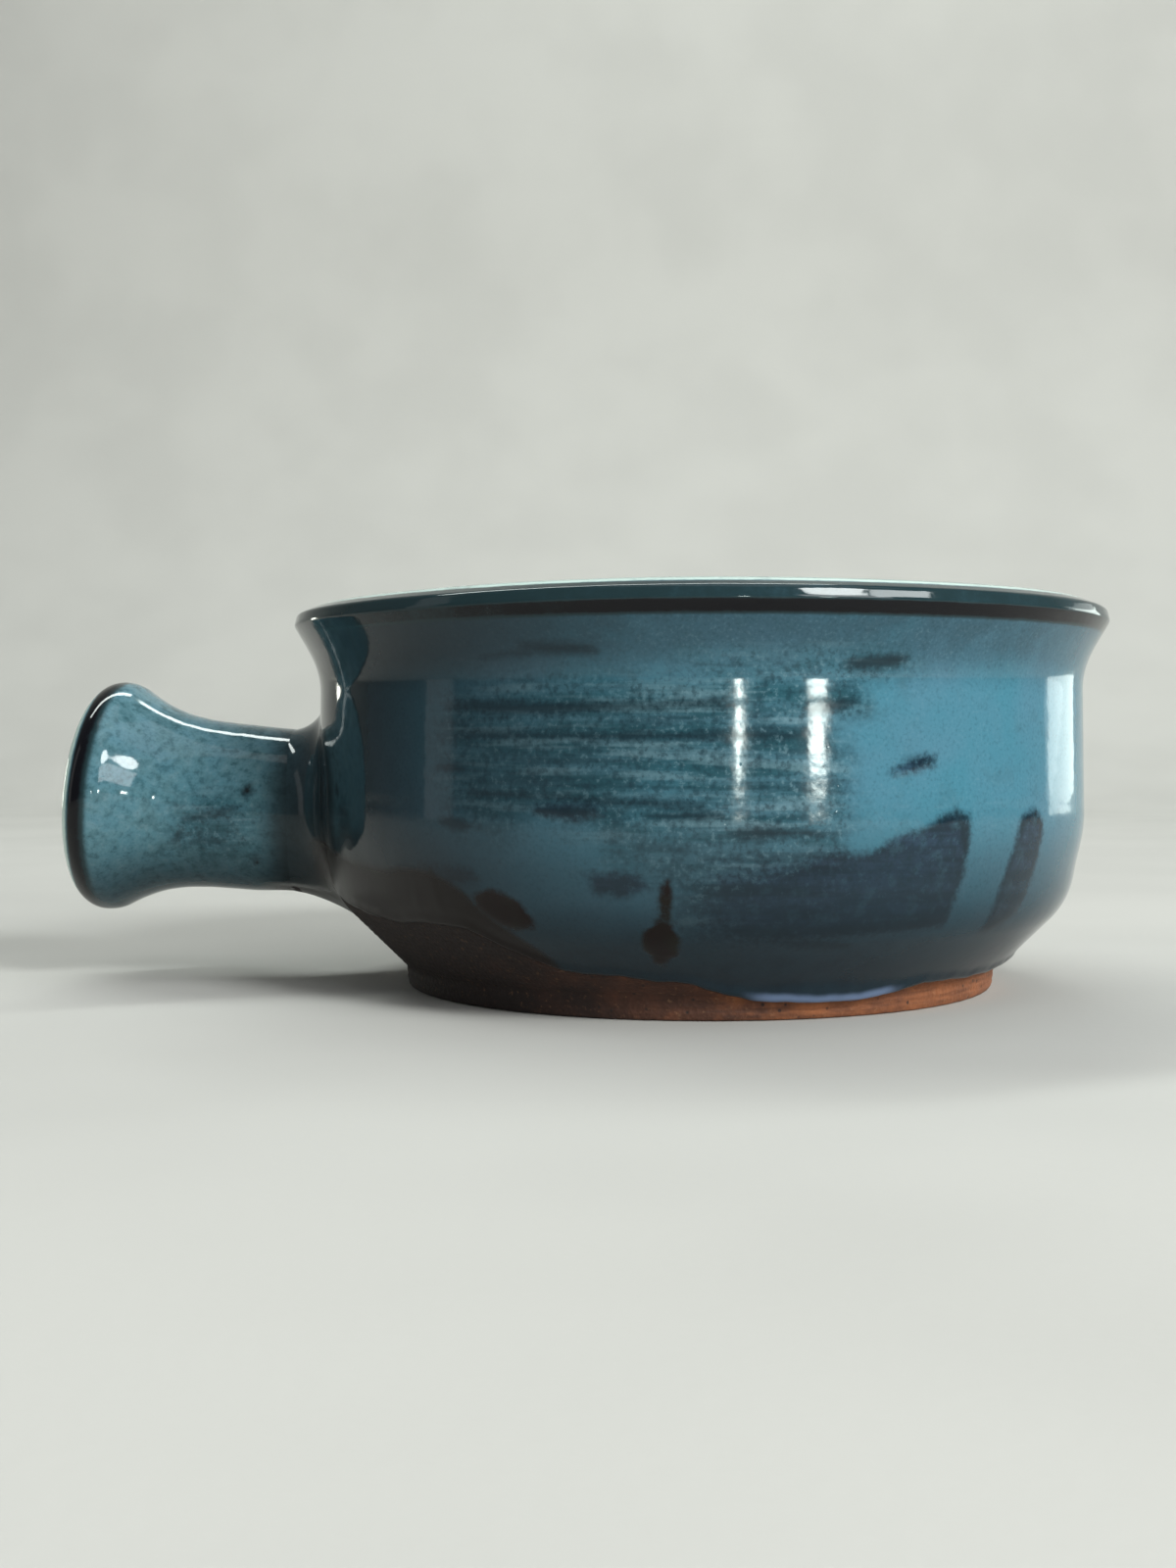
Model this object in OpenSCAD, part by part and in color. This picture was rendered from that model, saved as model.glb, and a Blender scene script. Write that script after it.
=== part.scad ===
// Lug soup bowl: a thrown stoneware bowl with a hollow trumpet handle luted to its side.
// +Z is up and the origin is the centre of the foot. The handle points along -X.
// Outlines are lists of [radius, height], and the visible ones lie on the fired glaze.

/* [Bowl] */
// Diameter across the lip
rim_d = 140; // [134:1:150]
// Height from the foot to the top of the lip
bowl_h = 65; // [61:1:83]
// Diameter of the fullest part of the side
belly_d = 132; // [128:1:136]
// Height of the fullest part
belly_z = 30; // [27:1:34]
// Diameter of the waist under the lip
waist_d = 131.4; // [127:0.1:133]
// Drop from the top of the lip to the waist
waist_drop = 14.5; // [12:0.5:20]
// Diameter at the corner where the side turns under
knuckle_d = 127.2; // [123:0.1:129]
// Height of that corner
knuckle_z = 15.2; // [13:0.1:17]
// Length that rounding takes from each side of that corner
knuckle_round = 4.4; // [2:0.1:6]
// Thickness of the clay in the side
wall_t = 4.2; // [3:0.1:5.5]
// Thickness of the clay in the floor
floor_t = 5; // [4:0.1:7]
// Diameter of the flat part of the floor inside
floor_flat_d = 72; // [50:1:80]

/* [Lip] */
// Drop from the top of the lip to its outermost edge
lip_drop = 2.6; // [2.2:0.1:4]
// Width of the lip from its outermost edge to the middle of its top
lip_w = 4.1; // [3.5:0.1:5.5]
// Rounding of the outermost edge
lip_round = 1.1; // [0.8:0.05:1.4]
// Rounding of the top of the lip
crest_round = 1.3; // [1:0.05:1.8]
// Lean of the flare under the lip, in degrees from upright
flare_deg = 29; // [15:1:40]
// Lean of the inside just under the lip, in degrees from upright
inner_flare_deg = 24; // [10:1:35]

/* [Foot] */
// Diameter of the foot where the side leaves it
foot_d = 103.4; // [98:0.1:106]
// Height of the foot there
foot_h = 3.4; // [2.5:0.1:5]
// Diameter of the foot on the table
foot_base_d = 101.8; // [97:0.1:105]
// Width of the ring that touches the table
foot_ring_w = 6.5; // [4:0.5:10]
// Depth of the turned recess inside the ring
foot_recess = 2.4; // [1.5:0.1:4]
// Rounding of both edges of the ring
foot_edge = 0.8; // [0.4:0.1:1.2]

/* [Handle] */
// Diameter of the neck
neck_d = 29.4; // [26:0.1:32]
// Largest diameter of the mouth
mouth_d = 41.2; // [38:0.1:46]
// Length from the side of the bowl to the end of the mouth
handle_len = 43; // [40:0.1:60]
// Straight length of the neck from the side of the bowl
neck_len = 10; // [8:0.5:16]
// Height of the handle's axis where it meets the side
handle_z = 29.1; // [27:0.1:34]
// Rise of the handle's axis, in degrees
handle_rise = 5; // [0:0.5:12]
// Thickness of the clay in the neck
neck_wall_t = 3.6; // [2.6:0.1:4.6]
// Rounding from the fattest part of the mouth to its end
mouth_round = 4.5; // [3.5:0.1:5.5]
// Rounding of the swell just behind the fattest part
swell_round = 6; // [5:0.1:9]
// Lean of the flare behind the mouth, in degrees
mouth_flare_deg = 33; // [24:1:38]
// Rounding of the inner edge of the mouth
mouth_inner_round = 1.8; // [1.2:0.1:2.2]
// Length of the funnel inside the mouth
funnel_len = 18; // [12:0.5:24]
// Lean of the funnel at the mouth, in degrees
funnel_deg = 30; // [15:1:40]

/* [Joint] */
// Thickness of the slip between the neck and the side
slip_t = 0.6; // [0.3:0.1:1]
// Reach of the coil along the side, out from the neck
coil_leg = 6.4; // [4:0.1:7]
// Reach of the coil along the neck, out from the side
coil_reach = 6.2; // [4:0.1:7.5]

/* [Glaze] */
// Thickness of the glaze
glaze_t = 0.5; // [0.3:0.05:0.7]
// Height of the lowest line of the outside glaze
dip_z = 3.9; // [3.6:0.1:6]
// Height at the bowl's axis of the tilted dip line
tilted_dip_z = 4.6; // [3:0.1:7]
// Tilt of that line, rising towards the handle, in degrees
dip_tilt = 11.3; // [0:0.1:14]
// Half thickness of the roll where the glaze ran to the foot
roll_r = 1.5; // [1:0.1:2]
// Height of the roll's middle over the top of the foot
roll_rise = 0.8; // [0.8:0.1:1.2]
// How far the roll stands out from the side where it is thickest
roll_proud = 0.8; // [0.5:0.1:1.2]
// How far the roll's ring is set off the bowl's axis
roll_shift = 3.2; // [2:0.1:5]
// Direction in which the roll is thickest, in degrees from +X
roll_turn = -66; // [-120:1:0]
// Length of the glazed part inside the handle, from its end
socket_glaze_len = 30; // [24:1:36]

/* [Hidden] */
$fn = 128;
// Steps in one curve, in one small rounding, and round the root
curve_steps = 12;
round_steps = 5;
root_steps = 64;
// Room that keeps the coil's flat facets clear of the round surfaces
seat_gap = 0.03;
// Overrun of every cut
cut = glaze_t + slip_t;

rim_r = rim_d / 2;
belly_r = belly_d / 2;
waist_r = waist_d / 2;
knuckle_r = knuckle_d / 2;
foot_r = foot_d / 2;
foot_base_r = foot_base_d / 2;
neck_r = neck_d / 2;
mouth_r = mouth_d / 2;
waist_z = bowl_h - waist_drop;
side_t = wall_t + 2 * glaze_t;
floor_z = foot_recess + floor_t + glaze_t;

// Plane curves
function bezier(a, b, c, d, n) =
    [for (i = [0:n]) let (t = i / n, s = 1 - t) s*s*s*a + 3*s*s*t*b + 3*s*t*t*c + t*t*t*d];
function soft(a, b, c, n) = [for (i = [0:n]) let (t = i / n, s = 1 - t) s*s*a + 2*s*t*b + t*t*c];
function arc(c, r, from, to, n) =
    [for (i = [0:n]) let (a = from + (to - from) * i / n) c + r * [cos(a), sin(a)]];
function unit(v) = v / norm(v);
function lean(deg) = [sin(deg), cos(deg)];
function tail(p) = [for (i = [1:len(p) - 1]) p[i]];
function turned(p) = [for (i = [len(p) - 1:-1:0]) p[i]];

// The right-hand normal of each point of a path, and the path moved along it
function side_of(p, q) = let (d = unit(q - p)) [d[1], -d[0]];
function normal_at(p, i) = unit(
    (i > 0 ? side_of(p[i - 1], p[i]) : [0, 0]) +
    (i < len(p) - 1 ? side_of(p[i], p[i + 1]) : [0, 0]));
function moved(p, t) = [for (i = [0:len(p) - 1]) p[i] + t * normal_at(p, i)];
// The direction of the normal of the straight line that touches two circles
function touch_deg(c, r, d, q) = atan2((d - c)[1], (d - c)[0]) - acos((r - q) / norm(d - c));

// Outside of the bowl, from the top of the foot to the top of the lip
foot_top = [foot_r, foot_h];
knuckle = [knuckle_r, knuckle_z];
belly = [belly_r, belly_z];
waist = [waist_r, waist_z];
knuckle_low = knuckle - knuckle_round * unit(knuckle - foot_top);
knuckle_high = knuckle + knuckle_round * unit(belly - knuckle);
edge_c = [rim_r - lip_round, bowl_h - lip_drop];
crest_c = [rim_r - lip_w, bowl_h - crest_round];
face_deg = touch_deg(edge_c, lip_round, crest_c, crest_round);
edge_start = edge_c + lip_round * [cos(-flare_deg), sin(-flare_deg)];
// Shares of a curve's rise that its handles take
rise_share = 0.4;
flare_low_share = 0.42;
flare_high_share = 0.36;
side_rise = belly_z - knuckle_high[1];
flare_rise = edge_start[1] - waist_z;
outside = concat(
    [foot_top],
    soft(knuckle_low, knuckle, knuckle_high, round_steps),
    tail(bezier(knuckle_high, knuckle_high + rise_share * side_rise * unit(belly - knuckle),
        belly - [0, rise_share * side_rise], belly, round_steps)),
    [waist],
    tail(bezier(waist, waist + [0, flare_low_share * flare_rise],
        edge_start - flare_high_share * flare_rise * lean(flare_deg), edge_start, curve_steps)),
    tail(arc(edge_c, lip_round, -flare_deg, face_deg, round_steps)),
    arc(crest_c, crest_round, face_deg, 90, round_steps));

// Inside of the bowl, from the top of the lip to the middle of the floor
crest_end = crest_c + crest_round * [cos(180 - inner_flare_deg), sin(180 - inner_flare_deg)];
inner_waist = [waist_r - side_t, waist_z];
inner_belly = [belly_r - side_t, belly_z];
floor_edge = [floor_flat_d / 2, floor_z];
inner_drop = crest_end[1] - waist_z;
// Shares that set how full the inside corner is
corner_down_share = 0.56;
corner_out_share = 0.47;
inside = concat(
    arc(crest_c, crest_round, 90, 180 - inner_flare_deg, round_steps),
    tail(bezier(crest_end, crest_end - flare_high_share * inner_drop * lean(inner_flare_deg),
        inner_waist + [0, flare_low_share * inner_drop], inner_waist, curve_steps)),
    bezier(inner_belly, inner_belly - [0, corner_down_share * (belly_z - floor_z)],
        floor_edge + [corner_out_share * (inner_belly[0] - floor_edge[0]), 0],
        floor_edge, curve_steps),
    [[0, floor_z]]);

// The surface at a height t over the clay, all the way round and outside alone
crest_i = len(outside) - 1;
visible = concat(outside, tail(inside));
function skin(t) = moved(visible, t - glaze_t);
function outer_skin(t) = let (p = skin(t)) [for (i = [0:crest_i]) p[i]];
function inner_skin(t) = let (p = skin(t)) [for (i = [crest_i:len(p) - 1]) p[i]];

// Underside of the foot, from the middle outwards
foot_in_r = foot_base_r - foot_ring_w;
underside = concat(
    [[0, foot_recess], [foot_in_r - foot_edge, foot_recess]],
    arc([foot_in_r + foot_edge, foot_edge], foot_edge, 180, 270, round_steps),
    arc([foot_base_r - foot_edge, foot_edge], foot_edge, 270, 360, round_steps));

// Outside of the handle along its own axis, from inside the bowl's wall to the end
swell_z = handle_len - mouth_round;
swell_c = [mouth_r - swell_round, swell_z];
swell_start = swell_c + swell_round * [cos(-mouth_flare_deg), sin(-mouth_flare_deg)];
neck_end = [neck_r, neck_len];
neck_rise = swell_start[1] - neck_len;
neck_low_share = 0.5;
neck_high_share = 0.35;
root_depth = side_t + coil_reach;
handle_outside = concat(
    [[neck_r, -root_depth]],
    bezier(neck_end, neck_end + [0, neck_low_share * neck_rise],
        swell_start - neck_high_share * neck_rise * lean(mouth_flare_deg), swell_start,
        curve_steps),
    tail(arc(swell_c, swell_round, -mouth_flare_deg, 0, round_steps)),
    tail(arc([mouth_r - mouth_round, swell_z], mouth_round, 0, 90, 2 * round_steps)));

// Inside of the handle, from the end back into the bowl's wall
mouth_in_c = [mouth_r - mouth_round, handle_len - mouth_inner_round];
mouth_in_end = mouth_in_c + mouth_inner_round * [cos(180 - funnel_deg), sin(180 - funnel_deg)];
bore_r = neck_r - neck_wall_t - 2 * glaze_t;
funnel_end = [bore_r, mouth_in_end[1] - funnel_len];
funnel_share = 0.45;
handle_inside = concat(
    arc(mouth_in_c, mouth_inner_round, 90, 180 - funnel_deg, round_steps),
    tail(bezier(mouth_in_end, mouth_in_end - funnel_share * funnel_len * lean(funnel_deg),
        funnel_end + [0, funnel_share * funnel_len], funnel_end, curve_steps)),
    [[bore_r, -root_depth]]);

tip_i = len(handle_outside) - 1;
handle_visible = concat(handle_outside, tail(handle_inside));
function handle_skin(t) = moved(handle_visible, t - glaze_t);
function handle_outer(t) = let (p = handle_skin(t)) [for (i = [0:tip_i]) p[i]];
function handle_inner(t) = let (p = handle_skin(t)) [for (i = [tip_i:len(p) - 1]) p[i]];

// Points round the root, at an angle a from the top of the neck and a height t over the clay
root_x = belly_r;
coil_r = neck_r + coil_leg;
coil_ring_r = belly_r + coil_reach;
// Share of the way to the corner that each half of the coil's curve is pulled
coil_share = 0.45;
function side_r(z, t) = lookup(z, [for (p = outer_skin(t)) [p[1], p[0]]]);
function neck_point(a, s, t) = let (r = neck_r - glaze_t + t)
    [-root_x - s * cos(handle_rise) + r * cos(a) * sin(handle_rise),
     r * sin(a),
     handle_z + s * sin(handle_rise) + r * cos(a) * cos(handle_rise)];
function s_at_x(x, a, t) =
    (-root_x - x + (neck_r - glaze_t + t) * cos(a) * sin(handle_rise)) / cos(handle_rise);
function on_side(y, z, t) = [-sqrt(pow(side_r(z, t), 2) - y * y), y, z];
function neck_foot(a, t) = let (y = (neck_r - glaze_t + t) * sin(a))
    neck_point(a, s_at_x(-sqrt(coil_ring_r * coil_ring_r - y * y), a, t), t);
function corner(a, t, s = 0, left = 6) = let (p = neck_point(a, s, t))
    left == 0 ? on_side(p[1], p[2], t) : corner(a, t, s_at_x(on_side(p[1], p[2], t)[0], a, t), left - 1);
function side_foot(a, t) = on_side(coil_r * sin(a), handle_z + coil_r * cos(a), t);
function root_curve(a, t) =
    let (p = neck_foot(a, t), q = corner(a, t), r = side_foot(a, t))
    bezier(p, p + coil_share * (q - p), r + coil_share * (q - r), r, round_steps + 1);
// Points on the side from the coil's edge back to the corner
seat_steps = 4;
function seat_line(a) = let (p = side_foot(a, seat_gap), q = corner(a, seat_gap))
    [for (i = [1:seat_steps]) let (m = p + (q - p) * i / seat_steps) on_side(m[1], m[2], seat_gap)];

// A ring closed both ways from equal loops of points
module ring_of(loops) {
    n = len(loops);
    m = len(loops[0]);
    polyhedron(
        points = [for (l = loops) each l],
        faces = [for (i = [0:n - 1]) for (j = [0:m - 1])
            let (a = i * m + j, b = i * m + (j + 1) % m,
                c = (i + 1) % n * m + (j + 1) % m, d = (i + 1) % n * m + j)
            each [[a, c, b], [a, d, c]]]);
}

module revolve(p) {
    rotate_extrude() polygon(p);
}

module in_handle() {
    translate([-root_x, 0, handle_z]) rotate([0, handle_rise - 90, 0]) children();
}

// Everything inside the outside of the bowl, grown by t over the clay
module core(t) {
    p = outer_skin(t);
    revolve(concat([[0, p[0][1]]], p, [[0, p[crest_i][1]]]));
}

// The same with nothing added, right down to the table
module filled_bowl() {
    p = outer_skin(0);
    revolve(concat([[0, 0], [foot_base_r, 0]], p, [[0, p[crest_i][1]]]));
}

// The ground of the coil and the neck on the side of the bowl
module root_ground() {
    translate([0, 0, handle_z]) rotate([0, -90, 0]) cylinder(r = coil_r, h = rim_d);
}

// Everything under the two dip lines
module under_dip() {
    translate([-rim_d, -rim_d, dip_z - rim_d]) cube([2 * rim_d, 2 * rim_d, rim_d]);
    translate([0, 0, tilted_dip_z]) rotate([0, dip_tilt, 0])
        translate([-rim_d, -rim_d, -rim_d]) cube([2 * rim_d, 2 * rim_d, rim_d]);
}

// Glaze that ran down and rolled up over the foot: a ring set off the axis
module glaze_roll() {
    roll_z = foot_h + roll_rise;
    ring_r = side_r(roll_z, 0) + roll_proud - roll_r - roll_shift;
    rotate([0, 0, roll_turn]) translate([roll_shift, 0, roll_z])
        rotate_extrude() translate([ring_r, 0]) circle(r = roll_r);
}

module bowl_body() {
    color("saddlebrown") revolve(concat(underside, skin(0)));
}

module handle_stub() {
    color("sienna") difference() {
        in_handle() revolve(handle_skin(0));
        core(slip_t);
    }
}

module slip_joint() {
    color("tan") intersection() {
        in_handle() difference() {
            translate([0, 0, -root_depth]) cylinder(r = neck_r - glaze_t, h = 2 * root_depth);
            translate([0, 0, -root_depth - cut])
                cylinder(r = bore_r + glaze_t, h = 2 * (root_depth + cut));
        }
        difference() {
            core(slip_t);
            core(0);
        }
    }
}

module root_coil() {
    color("peru") ring_of([for (i = [0:root_steps - 1]) let (a = 360 * i / root_steps)
        concat(root_curve(a, seat_gap), seat_line(a))]);
}

module bowl_glaze() {
    color("steelblue") difference() {
        union() {
            difference() {
                revolve(concat(outer_skin(glaze_t), turned(outer_skin(0))));
                under_dip();
            }
            glaze_roll();
        }
        filled_bowl();
        root_ground();
    }
}

module liner_glaze() {
    color("cadetblue") revolve(concat(inner_skin(glaze_t), turned(inner_skin(0))));
}

module root_glaze() {
    color("darkslategray") ring_of([for (i = [0:root_steps - 1]) let (a = 360 * i / root_steps)
        concat(root_curve(a, glaze_t), turned(root_curve(a, seat_gap)))]);
}

module handle_glaze() {
    color("cornflowerblue") difference() {
        in_handle() revolve(concat(handle_outer(glaze_t), turned(handle_outer(0))));
        cylinder(r = coil_ring_r, h = bowl_h);
    }
}

module socket_glaze() {
    color("lightsteelblue") intersection() {
        in_handle() revolve(concat(handle_inner(glaze_t), turned(handle_inner(0))));
        in_handle() translate([0, 0, handle_len - socket_glaze_len])
            cylinder(r = mouth_r, h = socket_glaze_len + cut);
    }
}

bowl_body();
handle_stub();
slip_joint();
root_coil();
bowl_glaze();
liner_glaze();
root_glaze();
handle_glaze();
socket_glaze();
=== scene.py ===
"""Looks of the lug soup bowl: a thrown stoneware bowl with a hollow trumpet handle.

Sizes are in millimetres and angles in degrees, as a potter's sheet gives them. A bearing is an
angle round the bowl: 0 faces the photograph, 90 is to the right, and the handle is at -90.
"""

import logging
import math
from dataclasses import dataclass, field
from enum import Enum

import bpy
import numpy as np
from mathutils import Matrix, Vector


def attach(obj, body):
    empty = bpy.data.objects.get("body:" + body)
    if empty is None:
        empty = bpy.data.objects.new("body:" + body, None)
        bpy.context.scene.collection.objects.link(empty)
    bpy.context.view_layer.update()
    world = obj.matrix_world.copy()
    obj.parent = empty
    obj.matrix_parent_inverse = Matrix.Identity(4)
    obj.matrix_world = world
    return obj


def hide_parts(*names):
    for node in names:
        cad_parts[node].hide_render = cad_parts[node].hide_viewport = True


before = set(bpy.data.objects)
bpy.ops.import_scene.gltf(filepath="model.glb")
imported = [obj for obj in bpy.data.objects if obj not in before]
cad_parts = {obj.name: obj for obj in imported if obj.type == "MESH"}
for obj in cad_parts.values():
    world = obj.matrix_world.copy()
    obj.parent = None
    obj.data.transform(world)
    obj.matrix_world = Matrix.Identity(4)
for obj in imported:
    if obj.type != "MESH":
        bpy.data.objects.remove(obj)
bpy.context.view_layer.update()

Array = np.ndarray
Span = tuple[float, float]
Triple = tuple[float, float, float]
MM = 0.001
log = logging.getLogger("lug_soup_bowl")


# Plane curves and small formulas

def pt(*xy: float) -> Array:
    """Returns a point as an array."""
    return np.array(xy, float)


def unit(v: Array) -> Array:
    """Returns the vector over its length, along the last axis."""
    return v / np.linalg.norm(v, axis=-1, keepdims=True)


def ray(deg: float) -> Array:
    """Returns the unit direction at an angle from the first axis."""
    turn = math.radians(deg)
    return pt(math.cos(turn), math.sin(turn))


def lean(deg: float) -> Array:
    """Returns the unit direction that leans deg outwards from upright."""
    return pt(math.sin(math.radians(deg)), math.cos(math.radians(deg)))


def bezier(a: Array, b: Array, c: Array, d: Array, n: int = 40) -> Array:
    """Samples a cubic curve: (1-t)^3 a + 3 (1-t)^2 t b + 3 (1-t) t^2 c + t^3 d.

    Args:
        a, b, c, d: end, handle, handle and end, each a point or an array of points.
        n: number of steps.

    Returns:
        Points with the steps along the first axis.
    """
    t = np.linspace(0, 1, n + 1).reshape((-1,) + (1,) * np.ndim(a))
    return (1 - t) ** 3 * a + 3 * (1 - t) ** 2 * t * b + 3 * (1 - t) * t ** 2 * c + t ** 3 * d


def soft(a: Array, b: Array, c: Array, n: int = 24) -> Array:
    """Samples the quadratic curve from a to c that b pulls."""
    return bezier(a, a + (b - a) * 2 / 3, c + (b - c) * 2 / 3, c, n)


def arc(centre: Array, radius: float, start: float, stop: float, n: int = 16) -> Array:
    """Samples centre + radius (cos, sin) from the start angle to the stop angle."""
    turn = np.radians(np.linspace(start, stop, n + 1))[:, None]
    return centre + radius * np.concatenate([np.cos(turn), np.sin(turn)], 1)


def touch_deg(c: Array, r: float, d: Array, q: float) -> float:
    """Returns the direction of the normal of the line that touches circles c, r and d, q."""
    gap = d - c
    return math.degrees(math.atan2(gap[1], gap[0]) - math.acos((r - q) / np.linalg.norm(gap)))


def smooth(x: Array, low: float, high: float) -> Array:
    """Returns 0 below low and 1 above high, joined by 3t^2 - 2t^3."""
    t = np.clip((x - low) / (high - low), 0, 1)
    return t * t * (3 - 2 * t)


def fall(x: Array, low: float, high: float) -> Array:
    """Returns 1 below low and 0 above high, joined as in smooth."""
    return 1 - smooth(x, low, high)


def hump(x: Array, middle: float, spread: float) -> Array:
    """Returns the bell exp(-((x - middle) / spread)^2)."""
    return np.exp(-((x - middle) / spread) ** 2)


def wrapped(bearing: Array, middle: float) -> Array:
    """Returns the bearing from middle, between -180 and 180."""
    return (bearing - middle + 180) % 360 - 180


def beside(bearing: Array, middle: float, near: float, far: float) -> Array:
    """Returns 1 within near degrees of the middle bearing and 0 beyond far."""
    return fall(np.abs(wrapped(bearing, middle)), near, far)


def bearing_of(points: Array) -> Array:
    """Returns the bearing of points given as [..., 3]."""
    return np.degrees(np.arctan2(points[..., 0], -points[..., 1]))


def revolved(r: Array, z: Array, turn: Array) -> Array:
    """Returns the points (r sin turn, -r cos turn, z), with turn in radians."""
    return np.stack(np.broadcast_arrays(r * np.sin(turn), -r * np.cos(turn), z), -1)


@dataclass(frozen=True)
class Path:
    """A plane path of [radius, height] points."""

    points: Array

    @property
    def run(self) -> Array:
        """Length along the path up to each point."""
        steps = np.linalg.norm(np.diff(self.points, axis=0), axis=1)
        return np.concatenate([[0.0], np.cumsum(steps)])

    @property
    def heights(self) -> Array:
        """Height of each point, with a hair added at each so that none repeats."""
        return self.points[:, 1] + np.arange(len(self.points)) * 1e-9

    def at(self, s: Array) -> Array:
        """Returns the points at the lengths s."""
        run = self.run
        return np.stack([np.interp(s, run, self.points[:, k]) for k in (0, 1)], -1)

    def normal(self, s: Array, reach: float = 0.25) -> Array:
        """Returns the right-hand normals at the lengths s, from the points reach to each side."""
        d = unit(self.at(s + reach) - self.at(s - reach))
        return np.stack([d[..., 1], -d[..., 0]], -1)

    def moved(self, s: Array, lift: Array | float) -> Array:
        """Returns the points at the lengths s, each moved by lift along its normal."""
        return self.at(s) + self.normal(s) * np.asarray(lift)[..., None]

    def length_at_height(self, z: Array) -> Array:
        """Returns the length at which a rising path reaches each height."""
        return np.interp(z, self.heights, self.run)


def spaced(stops: list[tuple[float, int]], start: float) -> Array:
    """Lays lengths in even steps from stop to stop.

    Args:
        stops: the end of each stretch and its number of steps.
        start: the first length.

    Returns:
        All the lengths, from start to the last stop.
    """
    out = [np.array([start])]
    for stop, count in stops:
        out.append(np.linspace(out[-1][-1], stop, count + 1)[1:])
    return np.concatenate(out)


def whole_strides(s: Array, stride: int, end: float) -> Array:
    """Cuts rows of lengths back to whole strides of cells.

    Args:
        s: lengths, a row for each step along the outline.
        stride: number of cells in a stride.
        end: the length that the last row left is moved to.

    Returns:
        The rows that are left.
    """
    s = s[:(len(s) - 1) // stride * stride + 1]
    s[-1] = end
    return s


# Sizes of the pieces. They are the construction's, but for the lip's upright outer face and the
# height of the glaze line's tilted part, which follow the fired glaze more closely here.

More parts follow.
